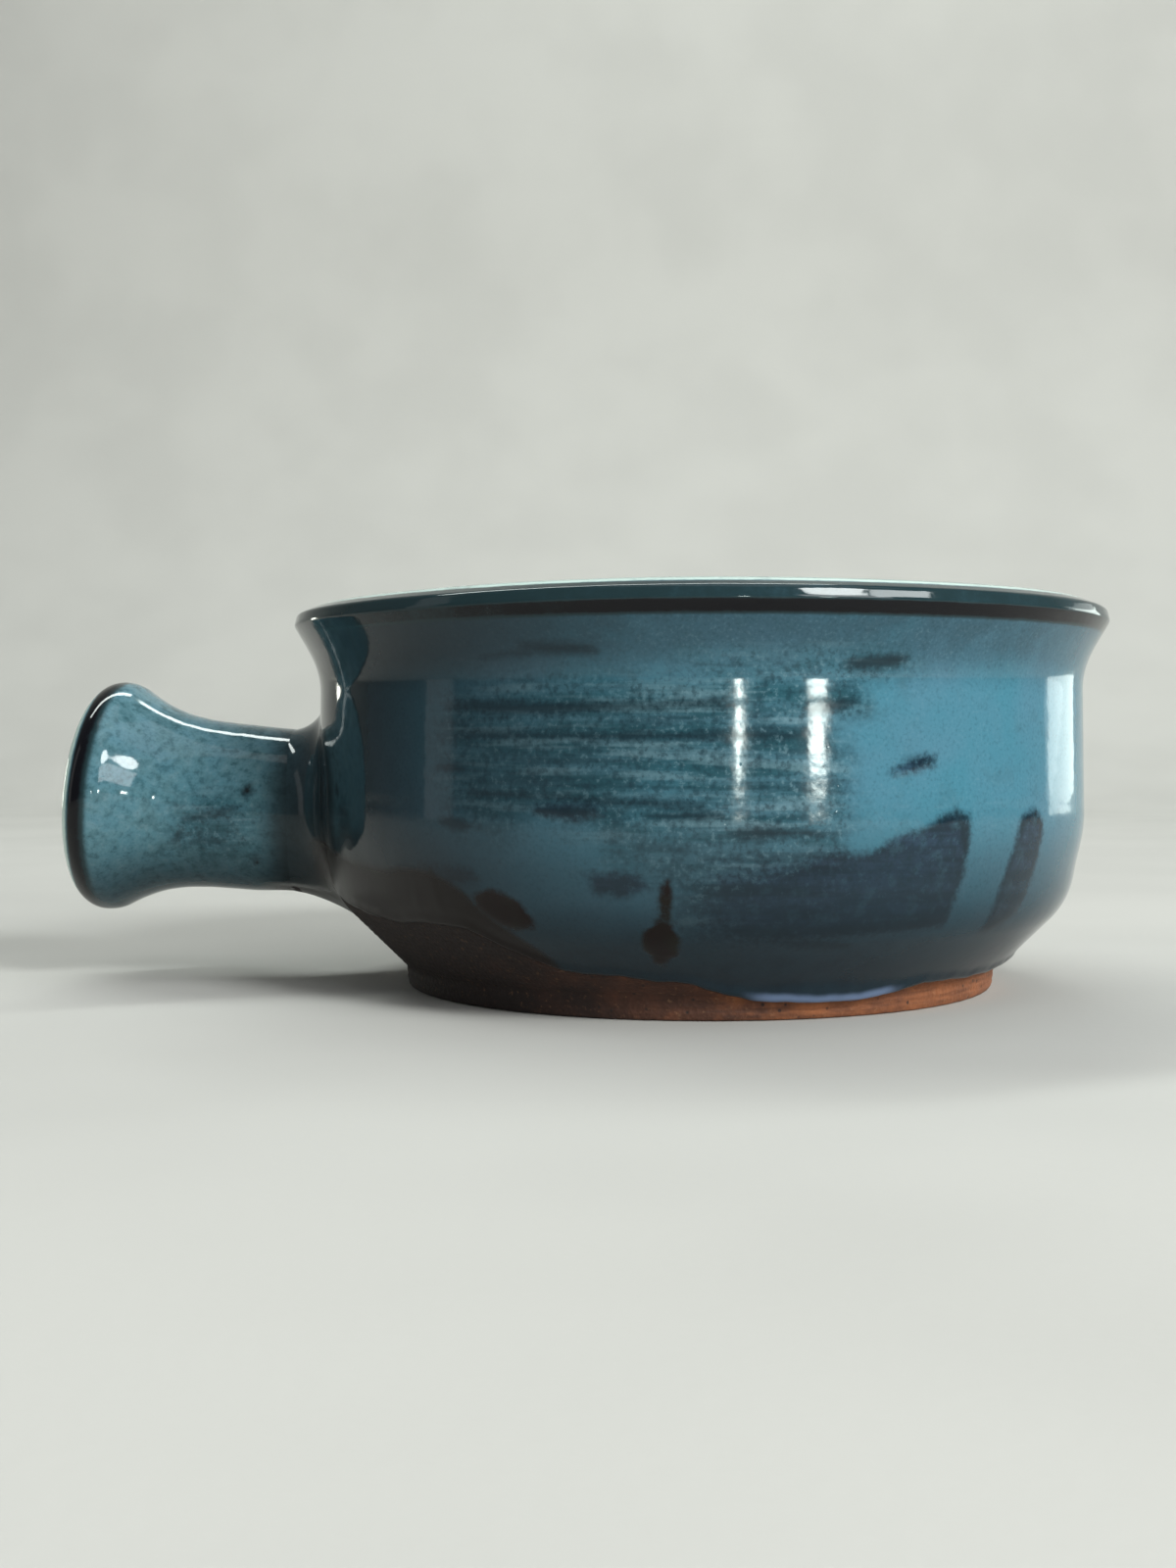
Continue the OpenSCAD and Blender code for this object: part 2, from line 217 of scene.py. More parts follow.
@dataclass(frozen=True)
class BowlForm:
    """Driving sizes of the thrown bowl, over its glaze."""

    rim_d: float = 140.0
    height: float = 65.0
    belly_d: float = 132.0
    belly_z: float = 30.0
    waist_d: float = 131.4
    waist_drop: float = 14.5
    knuckle_d: float = 127.2
    knuckle_z: float = 15.2
    knuckle_round: float = 4.4
    wall_t: float = 4.2
    floor_t: float = 5.0
    floor_flat_d: float = 72.0
    lip_w: float = 4.1
    lip_round: float = 0.9
    lip_low: float = 3.05
    lip_band: float = 1.0
    lip_band_deg: float = 14.0
    crest_round: float = 1.3
    flare_deg: float = 29.0
    inner_flare_deg: float = 24.0
    foot_d: float = 103.4
    foot_h: float = 3.4
    foot_base_d: float = 101.8
    foot_ring_w: float = 6.5
    foot_recess: float = 2.4
    foot_edge: float = 0.8
    glaze_t: float = 0.5
    drip_hang: float = 1.4
    curve_shares: Triple = (0.4, 0.42, 0.36)
    corner_shares: Span = (0.56, 0.47)

    @property
    def waist_z(self) -> float:
        """Height of the waist under the lip."""
        return self.height - self.waist_drop

    @property
    def side_t(self) -> float:
        """Thickness of the side with both glazes."""
        return self.wall_t + 2 * self.glaze_t

    @property
    def crest(self) -> Array:
        """Centre of the rounding on the top of the lip."""
        return pt(self.rim_d / 2 - self.lip_w, self.height - self.crest_round)

    def outside(self) -> Path:
        """Draws the outside of the glaze.

        Returns:
            The outline from just under the foot's top to the lip's top.
        """
        rise, low_share, high_share = self.curve_shares
        foot_top = pt(self.foot_d / 2, self.foot_h)
        knuckle = pt(self.knuckle_d / 2, self.knuckle_z)
        belly = pt(self.belly_d / 2, self.belly_z)
        waist = pt(self.waist_d / 2, self.waist_z)
        low = knuckle - self.knuckle_round * unit(knuckle - foot_top)
        high = knuckle + self.knuckle_round * unit(belly - knuckle)
        edge = pt(self.rim_d / 2 - self.lip_round, self.height - self.lip_low)
        upper = edge + self.lip_band * lean(-self.lip_band_deg)
        face = touch_deg(upper, self.lip_round, self.crest, self.crest_round)
        start = edge + self.lip_round * ray(-self.flare_deg)
        side_rise = rise * (self.belly_z - high[1])
        flare_rise = start[1] - self.waist_z
        return Path(np.concatenate([
            [foot_top - pt(0, self.drip_hang), foot_top],
            soft(low, knuckle, high),
            bezier(high, high + side_rise * unit(belly - knuckle), belly - pt(0, side_rise),
                   belly)[1:],
            bezier(waist, waist + pt(0, low_share * flare_rise),
                   start - high_share * flare_rise * lean(self.flare_deg), start),
            arc(edge, self.lip_round, -self.flare_deg, self.lip_band_deg, 8)[1:],
            arc(upper, self.lip_round, self.lip_band_deg, face, 12),
            arc(self.crest, self.crest_round, face, 90)]))

    def inside(self) -> Path:
        """Draws the inside of the glaze.

        Returns:
            The outline from the lip's top to the middle of the floor.
        """
        _, low_share, high_share = self.curve_shares
        down_share, out_share = self.corner_shares
        floor_z = self.foot_recess + self.floor_t + self.glaze_t
        start = self.crest + self.crest_round * ray(180 - self.inner_flare_deg)
        waist = pt(self.waist_d / 2 - self.side_t, self.waist_z)
        belly = pt(self.belly_d / 2 - self.side_t, self.belly_z)
        edge = pt(self.floor_flat_d / 2, floor_z)
        drop = start[1] - self.waist_z
        return Path(np.concatenate([
            arc(self.crest, self.crest_round, 90, 180 - self.inner_flare_deg),
            bezier(start, start - high_share * drop * lean(self.inner_flare_deg),
                   waist + pt(0, low_share * drop), waist)[1:],
            bezier(belly, belly - pt(0, down_share * (self.belly_z - floor_z)),
                   edge + pt(out_share * (belly[0] - edge[0]), 0), edge),
            [pt(0, floor_z)]]))

    def underside(self) -> Path:
        """Draws the bare underside of the foot.

        Returns:
            The outline from the middle outwards and up to the foot's side.
        """
        base_r = self.foot_base_d / 2
        inner_r = base_r - self.foot_ring_w
        return Path(np.concatenate([
            [pt(0, self.foot_recess), pt(inner_r - self.foot_edge, self.foot_recess)],
            arc(pt(inner_r + self.foot_edge, self.foot_edge), self.foot_edge, 180, 270),
            arc(pt(base_r - self.foot_edge, self.foot_edge), self.foot_edge, 270, 360)]))


@dataclass(frozen=True)
class HandleForm:
    """Driving sizes of the trumpet handle, over its glaze, along its own axis."""

    neck_d: float = 29.4
    mouth_d: float = 41.2
    length: float = 43.0
    neck_len: float = 10.0
    axis_z: float = 29.1
    rise_deg: float = 5.0
    wall_t: float = 3.6
    mouth_round: float = 4.5
    swell_round: float = 6.0
    flare_deg: float = 33.0
    inner_round: float = 1.8
    funnel_len: float = 18.0
    funnel_deg: float = 30.0
    socket_len: float = 30.0
    root_x: float = 66.0
    coil_leg: float = 6.4
    coil_reach: float = 6.2
    coil_share: float = 0.45
    glaze_t: float = 0.5
    curve_shares: Triple = (0.5, 0.35, 0.45)

    @property
    def coil_r(self) -> float:
        """Radius of the coil's foot round the handle's axis."""
        return self.neck_d / 2 + self.coil_leg

    def outside(self, start: float = 0.0) -> Path:
        """Draws the outside of the handle.

        Args:
            start: length along the axis at which the outline starts.

        Returns:
            The outline from there to the end of the mouth.
        """
        low, high, _ = self.curve_shares
        swell_z = self.length - self.mouth_round
        swell = pt(self.mouth_d / 2 - self.swell_round, swell_z)
        begin = swell + self.swell_round * ray(-self.flare_deg)
        neck = pt(self.neck_d / 2, self.neck_len)
        rise = begin[1] - self.neck_len
        return Path(np.concatenate([
            [pt(self.neck_d / 2, start)],
            bezier(neck, neck + pt(0, low * rise), begin - high * rise * lean(self.flare_deg),
                   begin),
            arc(swell, self.swell_round, -self.flare_deg, 0)[1:],
            arc(pt(self.mouth_d / 2 - self.mouth_round, swell_z), self.mouth_round, 0, 90)[1:]]))

    def inside(self) -> Path:
        """Draws the inside of the handle.

        Returns:
            The outline from the end of the mouth to the glaze's end in the bore.
        """
        centre = pt(self.mouth_d / 2 - self.mouth_round, self.length - self.inner_round)
        start = centre + self.inner_round * ray(180 - self.funnel_deg)
        bore_r = self.neck_d / 2 - self.wall_t - 2 * self.glaze_t
        end = pt(bore_r, start[1] - self.funnel_len)
        share = self.curve_shares[2] * self.funnel_len
        return Path(np.concatenate([
            arc(centre, self.inner_round, 90, 180 - self.funnel_deg),
            bezier(start, start - share * lean(self.funnel_deg), end + pt(0, share), end)[1:],
            [pt(bore_r, self.length - self.socket_len)]]))

    def placed(self, radius: Array, turn: Array, s: Array) -> Array:
        """Places points of the handle in the bowl's frame.

        Args:
            radius: distance from the handle's axis.
            turn: angle from the top of the handle, in radians.
            s: length along the axis from the bowl's side.

        Returns:
            Points as [..., 3].
        """
        rise = math.radians(self.rise_deg)
        up = radius * np.cos(turn)
        return np.stack([-self.root_x - s * math.cos(rise) + up * math.sin(rise),
                         radius * np.sin(turn),
                         self.axis_z + s * math.sin(rise) + up * math.cos(rise)], -1)

    def length_at_x(self, x: Array, turn: Array, radius: float) -> Array:
        """Returns the length along the axis at which a line of the neck reaches x."""
        rise = math.radians(self.rise_deg)
        return (-self.root_x - x + radius * np.cos(turn) * math.sin(rise)) / math.cos(rise)

    def clear_of_root(self, points: Array, start: float, stop: float) -> Array:
        """Works out how clear of the handle's root a point of the bowl's side is.

        Args:
            points: points on the bowl as [..., 3].
            start, stop: distances outside the coil's foot between which the value rises.

        Returns:
            0 at the root and 1 away from it.
        """
        off = np.hypot(points[..., 1], points[..., 2] - self.axis_z) - self.coil_r
        return np.where(points[..., 0] > 0, 1.0, smooth(off, start, stop))


@dataclass(frozen=True)
class GlazeLine:
    """The lower line of the outside glaze, left by a tilted dip, with its runs and its roll."""

    level_z: float = 3.9
    tilt_z: float = 4.9
    tilt_deg: float = 11.3
    side_r: float = 62.0
    soften: float = 0.8
    roll_bearing: float = 23.0
    roll_spread: float = 14.0
    roll_drop: float = 1.35
    # Bearing, spread and rise of each place where the line wanders
    wanders: tuple[Triple, ...] = (
        (-56, 9, -1.0), (-38, 6, 1.3), (-31, 4, 1.6), (-18, 5, -1.6), (0, 6, 0.8), (46, 8, 0.7),
        (74, 11, 1.2), (118, 14, 0.9), (150, 9, 1.8), (186, 12, 1.4), (215, 8, -1.2), (238, 7, 1.5))
    # Depth, number and phase of the small waves round the line
    ripples: tuple[Triple, ...] = ((0.16, 19, 1), (0.10, 43, 2), (0.05, 97, 0))

    def height(self, bearing: Array) -> Array:
        """Works out the line's height: the higher of a level and a tilted plane, with its wanders.

        The softened maximum of a and b is (a + b + sqrt((a - b)^2 + soften^2)) / 2. Bells, small
        waves and the roll's drop are added to it.

        Args:
            bearing: bearing of each point.

        Returns:
            The height at each point.
        """
        a = self.level_z
        slope = math.tan(math.radians(self.tilt_deg))
        b = self.tilt_z - self.side_r * np.sin(np.radians(bearing)) * slope
        z = (a + b + np.sqrt((a - b) ** 2 + self.soften ** 2)) / 2
        for middle, spread, rise in self.wanders:
            z = z + rise * hump(wrapped(bearing, middle), 0, spread)
        turn = np.radians(bearing)
        for depth, number, phase in self.ripples:
            z = z + depth * np.sin(number * turn + phase)
        return z - self.roll_drop * self.roll(bearing)

    def roll(self, bearing: Array) -> Array:
        """Returns 1 where the run glaze is thickest and 0 where it didn't run."""
        return hump(wrapped(bearing, self.roll_bearing), 0, self.roll_spread)


# Marks on the glaze, each as a depth in millimetres: above 0 inside the mark

def off_line(a: Array, z: Array, p: Array, d: Array) -> tuple[Array, Array]:
    """Finds the place p + t d, with t of 0 to 1, that is nearest to each point.

    Args:
        a, z: place across and height of each point.
        p, d: start and reach of the line.

    Returns:
        t, and the distance from each point to that place.
    """
    t = np.clip(((a - p[0]) * d[0] + (z - p[1]) * d[1]) / (d @ d), 0, 1)
    return t, np.hypot(a - p[0] - t * d[0], z - p[1] - t * d[1])


@dataclass(frozen=True)
class Stroke:
    """A brushed or thrown line from one bearing and height to another."""

    start: Span
    stop: Span
    half: float
    taper: float = 0.55

    def depth(self, a: Array, z: Array, scale: float) -> Array:
        """Works out the depth: half the width, which tapers to both ends, less the distance.

        Args:
            a, z: place across and height of each point.
            scale: width of a degree.

        Returns:
            The depth of each point.
        """
        p = pt(self.start[0] * scale, self.start[1])
        t, off = off_line(a, z, p, pt(self.stop[0] * scale, self.stop[1]) - p)
        return self.half * (1 - self.taper * np.abs(2 * t - 1) ** 3) - off


@dataclass(frozen=True)
class Patch:
    """An area inside corners given as bearing and height; `less` makes it fainter."""

    corners: tuple[Span, ...]
    less: float = 0.0

    def depth(self, a: Array, z: Array, scale: float) -> Array:
        """Works out the depth: the distance to the outline, above 0 inside by the crossing rule.

        Args:
            a, z: place across and height of each point.
            scale: width of a degree.

        Returns:
            The depth of each point.
        """
        p = np.array(self.corners, float) * [scale, 1]
        nearest = np.full(a.shape, np.inf)
        inside = np.zeros(a.shape, bool)
        for q, r in zip(p, np.roll(p, -1, axis=0)):
            d = r - q
            nearest = np.minimum(nearest, off_line(a, z, q, d)[1])
            if d[1]:
                crosses = (q[1] > z) != (r[1] > z)
                inside ^= crosses & (a < q[0] + d[0] * (z - q[1]) / d[1])
        return np.where(inside, nearest, -nearest) - self.less


class Mark(Enum):
    """The kinds of mark, each the name of the mesh attribute that carries it."""

    BRUSHED = "brushed"
    DIPPED = "dipped"
    STROKE = "stroke"
    IRON = "iron"


# Depth of a point that lies in no mark
FAR_OUT = -20.0

Marks = dict[Mark, tuple[Stroke | Patch, ...]]
BOWL_MARKS: Marks = {
    Mark.BRUSHED: (
        Patch(((-34, 50), (-24, 51.5), (-8, 51), (6, 53), (20, 54.5), (28, 54.6), (29, 52.6),
               (22, 50.5), (23, 47), (18.5, 45), (20.5, 38), (21, 31), (20, 25), (20, 13.5),
               (-1, 14), (-2, 22), (-9, 24), (-12, 29), (-19, 31), (-25, 28), (-33, 31),
               (-35, 40))),
        Patch(((120, 48), (150, 51), (188, 50), (196, 44), (190, 36), (200, 30), (176, 24),
               (150, 27), (128, 25), (118, 33))),
        Patch(((214, 50), (236, 52), (246, 46), (243, 36), (228, 28), (212, 33), (208, 42)))),
    Mark.DIPPED: (
        Patch(((4, 22.5), (10, 24), (17, 25.4), (24, 26.3), (30, 29), (36.6, 31.6), (38.8, 31),
               (38.9, 25), (37.2, 14.8), (28, 14), (14, 13.2), (2, 14.2))),
        Patch(((49.8, 30.6), (52.8, 31.4), (55, 29.5), (54.9, 24), (53.5, 19), (52, 15.5), (48, 13),
               (45.6, 13.2), (46.2, 17), (47.6, 24))),
        Patch(((25.2, 37.2), (27, 38.6), (31, 40.4), (33.8, 40.3), (33.2, 38), (30, 37),
               (27, 36.8)), 0.5),
        Patch(((-13, 23.4), (-6, 23.6), (-4.5, 21), (-8, 19.2), (-12, 19.8)), 0.4),
        Patch(((-20, 33.5), (-11, 34), (-9, 31), (-14, 30), (-20, 31)), 0.8),
        Patch(((-39, 24), (-29, 23.4), (-28, 21.4), (-34, 20), (-39, 18.5)), 0.2),
        Patch(((104, 32), (122, 25), (138, 23), (139, 14), (112, 12.6), (101, 17), (99, 27))),
        Patch(((160, 19), (188, 22), (192, 13), (166, 11))),
        Patch(((80.5, 45.6), (84, 47.2), (90, 48.6), (95.5, 49.4), (97, 48.4), (93.5, 47.0),
               (88, 45.7), (83, 44.9)), 0.3)),
    Mark.STROKE: (
        Stroke((-33, 47.2), (-8, 46.9), 0.75), Stroke((-12, 47.1), (6, 47.3), 0.5),
        Stroke((-31, 43.1), (-14, 42.9), 0.45), Stroke((-16, 42.9), (15, 42.6), 0.4),
        Stroke((-29, 34.5), (-12, 34.0), 0.4), Stroke((-14, 33.9), (2, 32.7), 0.35),
        Stroke((-19, 31.9), (-11, 32.1), 0.6), Stroke((-5, 31.4), (4.5, 31.5), 0.5),
        Stroke((5.5, 28.8), (13.5, 29.1), 0.7), Stroke((13, 29.4), (17, 28.6), 0.35),
        Stroke((20, 52.8), (28.5, 53.8), 0.9), Stroke((15.5, 46.4), (22, 48), 0.8),
        Stroke((6, 15), (14.5, 14.2), 0.45), Stroke((17, 14.6), (36.5, 15.4), 0.6),
        Stroke((14, 12.6), (23, 12.1), 0.4), Stroke((46.5, 13.4), (51, 15.2), 0.6),
        Stroke((37.2, 30.4), (38.5, 26), 0.45), Stroke((-21, 55.7), (-11, 55.0), 0.8),
        Stroke((-27, 54.4), (-19, 54.9), 0.2),
        Stroke((-34, 38.5), (-30, 38.2), 0.6), Stroke((-33.5, 30.5), (-29.5, 29.5), 0.9),
        Stroke((120, 46.5), (176, 47.2), 0.6), Stroke((126, 42.6), (190, 42.1), 0.45),
        Stroke((124, 36.2), (160, 35.6), 0.5), Stroke((150, 30.4), (196, 31.4), 0.6),
        Stroke((212, 46.2), (242, 45.6), 0.5), Stroke((214, 39), (238, 38.2), 0.45),
        Stroke((104, 17), (136, 15.8), 0.5)),
    Mark.IRON: (
        Stroke((-2.4, 22), (-2.8, 14), 0.9), Stroke((-3.0, 15.4), (-3.8, 10.6), 3.1),
        Stroke((-28.6, 18.8), (-21.6, 15.8), 2.6),
        Stroke((-36.6, 22.6), (-36.2, 16.4), 0.6), Stroke((-40, 21), (-40.4, 16.8), 0.5),
        Stroke((144, 20), (145, 12.4), 0.9), Stroke((205, 24), (204, 17.4), 0.7)),
}
HANDLE_MARKS: Marks = {
    Mark.BRUSHED: (Patch(((74, 10), (66, 20), (92, 26), (122, 26), (134, 17), (126, 9),
                          (90, 8)), 2.6),
                   Patch(((-60, 9), (-70, 24), (-110, 27), (-140, 18), (-120, 8)), 2.6)),
    Mark.DIPPED: (),
    Mark.STROKE: (Stroke((72, 11.0), (80, 11.6), 1.2), Stroke((120, 9.4), (127, 9.8), 1.0),
                  Stroke((88, 13.6), (95, 17), 0.5), Stroke((94, 17), (99, 22), 0.6),
                  Stroke((104, 22), (114, 23.6), 0.4), Stroke((112, 15.0), (114, 20.5), 0.5),
                  Stroke((-90, 10), (-98, 20), 0.7), Stroke((-120, 12), (-112, 16), 0.7)),
    Mark.IRON: (Stroke((73, 11.4), (78, 11.7), 0.5), Stroke((126, 9.3), (128, 9.5), 0.4)),
}


def mark_depths(marks: Marks, bearing: Array, z: Array, radius: float) -> dict[str, Array]:
    """Works out every kind of mark over a grid.

    On the bowl the brushed ground's edge is crisper to the right of the middle, where a dark
    dip also has an outline, and that dip fades out to its left.

    Args:
        marks: the marks of each kind.
        bearing: bearing of each point, in degrees.
        z: height or length of each point, in millimetres.
        radius: radius at which a degree's width is taken.

    Returns:
        The greatest depth of each kind, by attribute name, and how far dips are outlined.
    """
    bearing, z = np.broadcast_arrays(bearing, z)
    scale = math.radians(radius)
    out = {}
    for kind, group in marks.items():
        deepest = np.full(bearing.shape, FAR_OUT)
        for mark in group:
            points = mark.corners if isinstance(mark, Patch) else (mark.start, mark.stop)
            middle = sum(p[0] for p in points) / len(points)
            a = (middle + wrapped(bearing, middle)) * scale
            deepest = np.maximum(deepest, mark.depth(a, z, scale))
        out[kind.value] = deepest
    right = fall(bearing, 60, 90)
    sharp = smooth(bearing, 2, 17) * right
    out[Mark.BRUSHED.value] = out[Mark.BRUSHED.value] * (1 + 0.5 * sharp)
    faded = fall(bearing, 4, 26) * smooth(bearing, -4, 2)
    out[Mark.DIPPED.value] = out[Mark.DIPPED.value] * (1 - 0.72 * faded)
    out["outlined"] = smooth(bearing, 27, 35) * right
    return out


# Meshes

Face = tuple[int, ...]

# Order of a cell's corners that turns its face over
OTHER_WAY = [0, 3, 2, 1]


def quads(rows: int, cols: int, closed: bool = True) -> Array:
    """Numbers the corners of a grid's cells.

    Args:
        rows, cols: number of points each way, numbered along each row in turn.
        closed: whether the last column joins the first.

    Returns:
        Corners as [rows - 1, cells, 4]: along the row, on to the next and back.
    """
    number = np.arange(rows * cols).reshape(rows, cols)
    if closed:
        number = np.concatenate([number, number[:, :1]], 1)
    return np.stack([number[:-1, :-1], number[:-1, 1:], number[1:, 1:], number[1:, :-1]], -1)


def around(cols: int) -> tuple[Array, Array]:
    """Returns the number of each column of a closed row, and of the one after it."""
    col = np.arange(cols)
    return col, (col + 1) % cols


def listed(*parts: Array) -> list[Face]:
    """Returns the rows of all the parts as faces."""
    return [tuple(f) for part in parts for f in part.tolist()]


def volume(points: Array, faces: list[Face]) -> float:
    """Works out the signed volume: a sixth of the sum of the fans' triple products.

    Args:
        points: points as [n, 3].
        faces: corner numbers of each face.

    Returns:
        The volume, above 0 where the faces point outwards.
    """
    total = 0.0
    for size in {len(f) for f in faces}:
        f = np.array([g for g in faces if len(g) == size])
        for k in range(1, size - 1):
            a, b, c = points[f[:, 0]], points[f[:, k]], points[f[:, k + 1]]
            total += float(np.einsum("ij,ij->i", a, np.cross(b, c)).sum()) / 6
    return total


def make_piece(name: str, points: Array, faces: list[Face], values: dict[str, Array] | None = None,
               flat_from: int | None = None) -> bpy.types.Object:
    """Makes a smooth mesh object with its faces pointing outwards.

    Args:
        name: the piece's name.
        points: points in millimetres as [n, 3].
        faces: corner numbers of each face.
        values: named values, one for each point.
        flat_from: number of the first face that is shaded flat, so that an edge stays crisp.

    Returns:
        The new object.
    """
    if volume(points, faces) < 0:
        faces = [f[::-1] for f in faces]
    mesh = bpy.data.meshes.new(name)
    mesh.from_pydata((points * MM).tolist(), [], faces)
    flat_from = len(faces) if flat_from is None else flat_from
    mesh.polygons.foreach_set("use_smooth", np.arange(len(faces)) < flat_from)
    for key, value in (values or {}).items():
        layer = mesh.attributes.new(key, "FLOAT", "POINT")
        layer.data.foreach_set("value", np.ascontiguousarray(value, np.float32).ravel())
    mesh.validate()
    mesh.update()
    piece = bpy.data.objects.new(name, mesh)
    bpy.context.scene.collection.objects.link(piece)
    return piece


@dataclass
class Coat:
    """A closed layer between an outer grid and a coarser inner grid that share their columns.

    The grids run along the profile first and round the piece second, and close round the piece.
    The inner grid has one row for every `stride` rows of the outer grid. Blocks of cells may be
    left out, and the layer's edge there is closed by faces from the outer to the inner grid.
    A value is a number, or an array that spreads over the outer grid.
    """

    outer: Array
    inner: Array
    stride: int
    values: dict[str, Array | float]
    keep: Array | None = None

    def faces(self, keep: Array) -> tuple[list[Face], int]:
        """Lists the faces of both grids, and then those that close the layer's edges.

        Args:
            keep: which blocks are kept, by row of the inner grid and column.

        Returns:
            The faces, and how many of them belong to the grids.
        """
        rows, cols = self.outer.shape[:2]
        base, step, blocks = rows * cols, self.stride, len(keep)
        shown = np.repeat(keep, step, axis=0)
        faces = listed(quads(rows, cols)[shown][:, OTHER_WAY], quads(blocks + 1, cols)[keep] + base)
        skins = len(faces)
        padded = np.zeros((blocks + 2, cols), bool)
        padded[1:-1] = keep
        for k, a in np.argwhere(padded[1:] != padded[:-1]).tolist():
            c = (a + 1) % cols
            outer, inner = k * step * cols, base + k * cols
            quad = (outer + a, outer + c, inner + c, inner + a)
            faces.append(quad if padded[k + 1, a] else quad[::-1])
        for k, a in np.argwhere(keep != np.roll(keep, 1, axis=1)).tolist():
            side = [(k * step + n) * cols + a for n in range(step + 1)]
            ring = (*side, base + (k + 1) * cols + a, base + k * cols + a)
            faces.append(ring[::-1] if keep[k, a] else ring)
        return faces, skins

    def build(self, name: str) -> bpy.types.Object:
        """Makes the coat without the points that no face uses.

        Args:
            name: the piece's name.

        Returns:
            The new object.
        """
        points = np.concatenate([self.outer.reshape(-1, 3), self.inner.reshape(-1, 3)])
        whole = np.ones((len(self.inner) - 1, self.inner.shape[1]), bool)
        faces, skins = self.faces(whole if self.keep is None else self.keep)
        used = np.zeros(len(points), bool)
        used[np.concatenate([np.array(f) for f in faces])] = True
        new = np.cumsum(used) - 1
        faces = [tuple(int(new[v]) for v in f) for f in faces]
        values = {}
        for key, value in self.values.items():
            spread = np.broadcast_to(value, self.outer.shape[:2])
            values[key] = np.concatenate([spread.ravel(), spread[::self.stride].ravel()])[used]
        return make_piece(name, points[used], faces, values, skins)


def closed_turning(name: str, path: Path, s: Array, shift: Array) -> bpy.types.Object:
    """Turns a path that starts and ends on the axis, with a point at each pole.

    Args:
        name: the piece's name.
        path: the outline.
        s: lengths along it, from pole to pole.
        shift: how far each point between the poles moves along the outline's normal, by row
            and column.

    Returns:
        The new object.
    """
    rows, cols = shift.shape
    line = path.moved(s[1:-1, None], shift)
    grid = revolved(line[..., 0], line[..., 1], np.arange(cols) * 2 * math.pi / cols)
    first, last = path.at(s[[0, -1]])
    points = np.concatenate([[[0, 0, first[1]]], grid.reshape(-1, 3), [[0, 0, last[1]]]])
    col, nxt = around(cols)
    end = (rows - 1) * cols + 1
    top = np.stack([np.zeros(cols, int), nxt + 1, col + 1], 1)
    low = np.stack([np.full(cols, len(points) - 1), end + col, end + nxt], 1)
    return make_piece(name, points, listed(quads(rows, cols).reshape(-1, 4) + 1, top, low))


# Node trees written as expressions

Colour = tuple[float, float, float, float]


def colour(r: float, g: float, b: float) -> Colour:
    """Turns a screen colour into a linear colour.

    Args:
        r, g, b: screen numbers of 0 to 255.

    Returns:
        The colour, with full cover.
    """
    def one(c: float) -> float:
        """Undoes the screen's curve on one number."""
        c /= 255
        return c / 12.92 if c <= 0.04045 else ((c + 0.055) / 1.055) ** 2.4
    return (one(r), one(g), one(b), 1.0)


class Sock:
    """A number, colour or vector socket on which arithmetic adds nodes."""

    def __init__(self, tree: "Tree", socket: bpy.types.NodeSocket) -> None:
        """Keeps the tree and its socket."""
        self.tree = tree
        self.socket = socket

    def _math(self, operation: str, *values: object) -> "Sock":
        """Adds a Math node of that operation on the values."""
        return self.tree.add("ShaderNodeMath", {"operation": operation}, dict(enumerate(values)))

    def __add__(self, other: object) -> "Sock":
        """Sum."""
        return self._math("ADD", self, other)

    __radd__ = __add__

    def __mul__(self, other: object) -> "Sock":
        """Product."""
        return self._math("MULTIPLY", self, other)

    __rmul__ = __mul__

    def __sub__(self, other: object) -> "Sock":
        """Difference."""
        return self._math("SUBTRACT", self, other)

    def __rsub__(self, other: object) -> "Sock":
        """Difference, the other way round."""
        return self._math("SUBTRACT", other, self)

    def rise(self, low: float, high: float) -> "Sock":
        """Adds a smooth step, which falls where low is the larger.

        Args:
            low, high: values at which the step is 0 and 1.

        Returns:
            The step's output.
        """
        return self.tree.add("ShaderNodeMapRange",
                             {"interpolation_type": "SMOOTHSTEP", "clamp": True},
                             {"Value": self, "From Min": low, "From Max": high,
                              "To Min": 0.0, "To Max": 1.0})


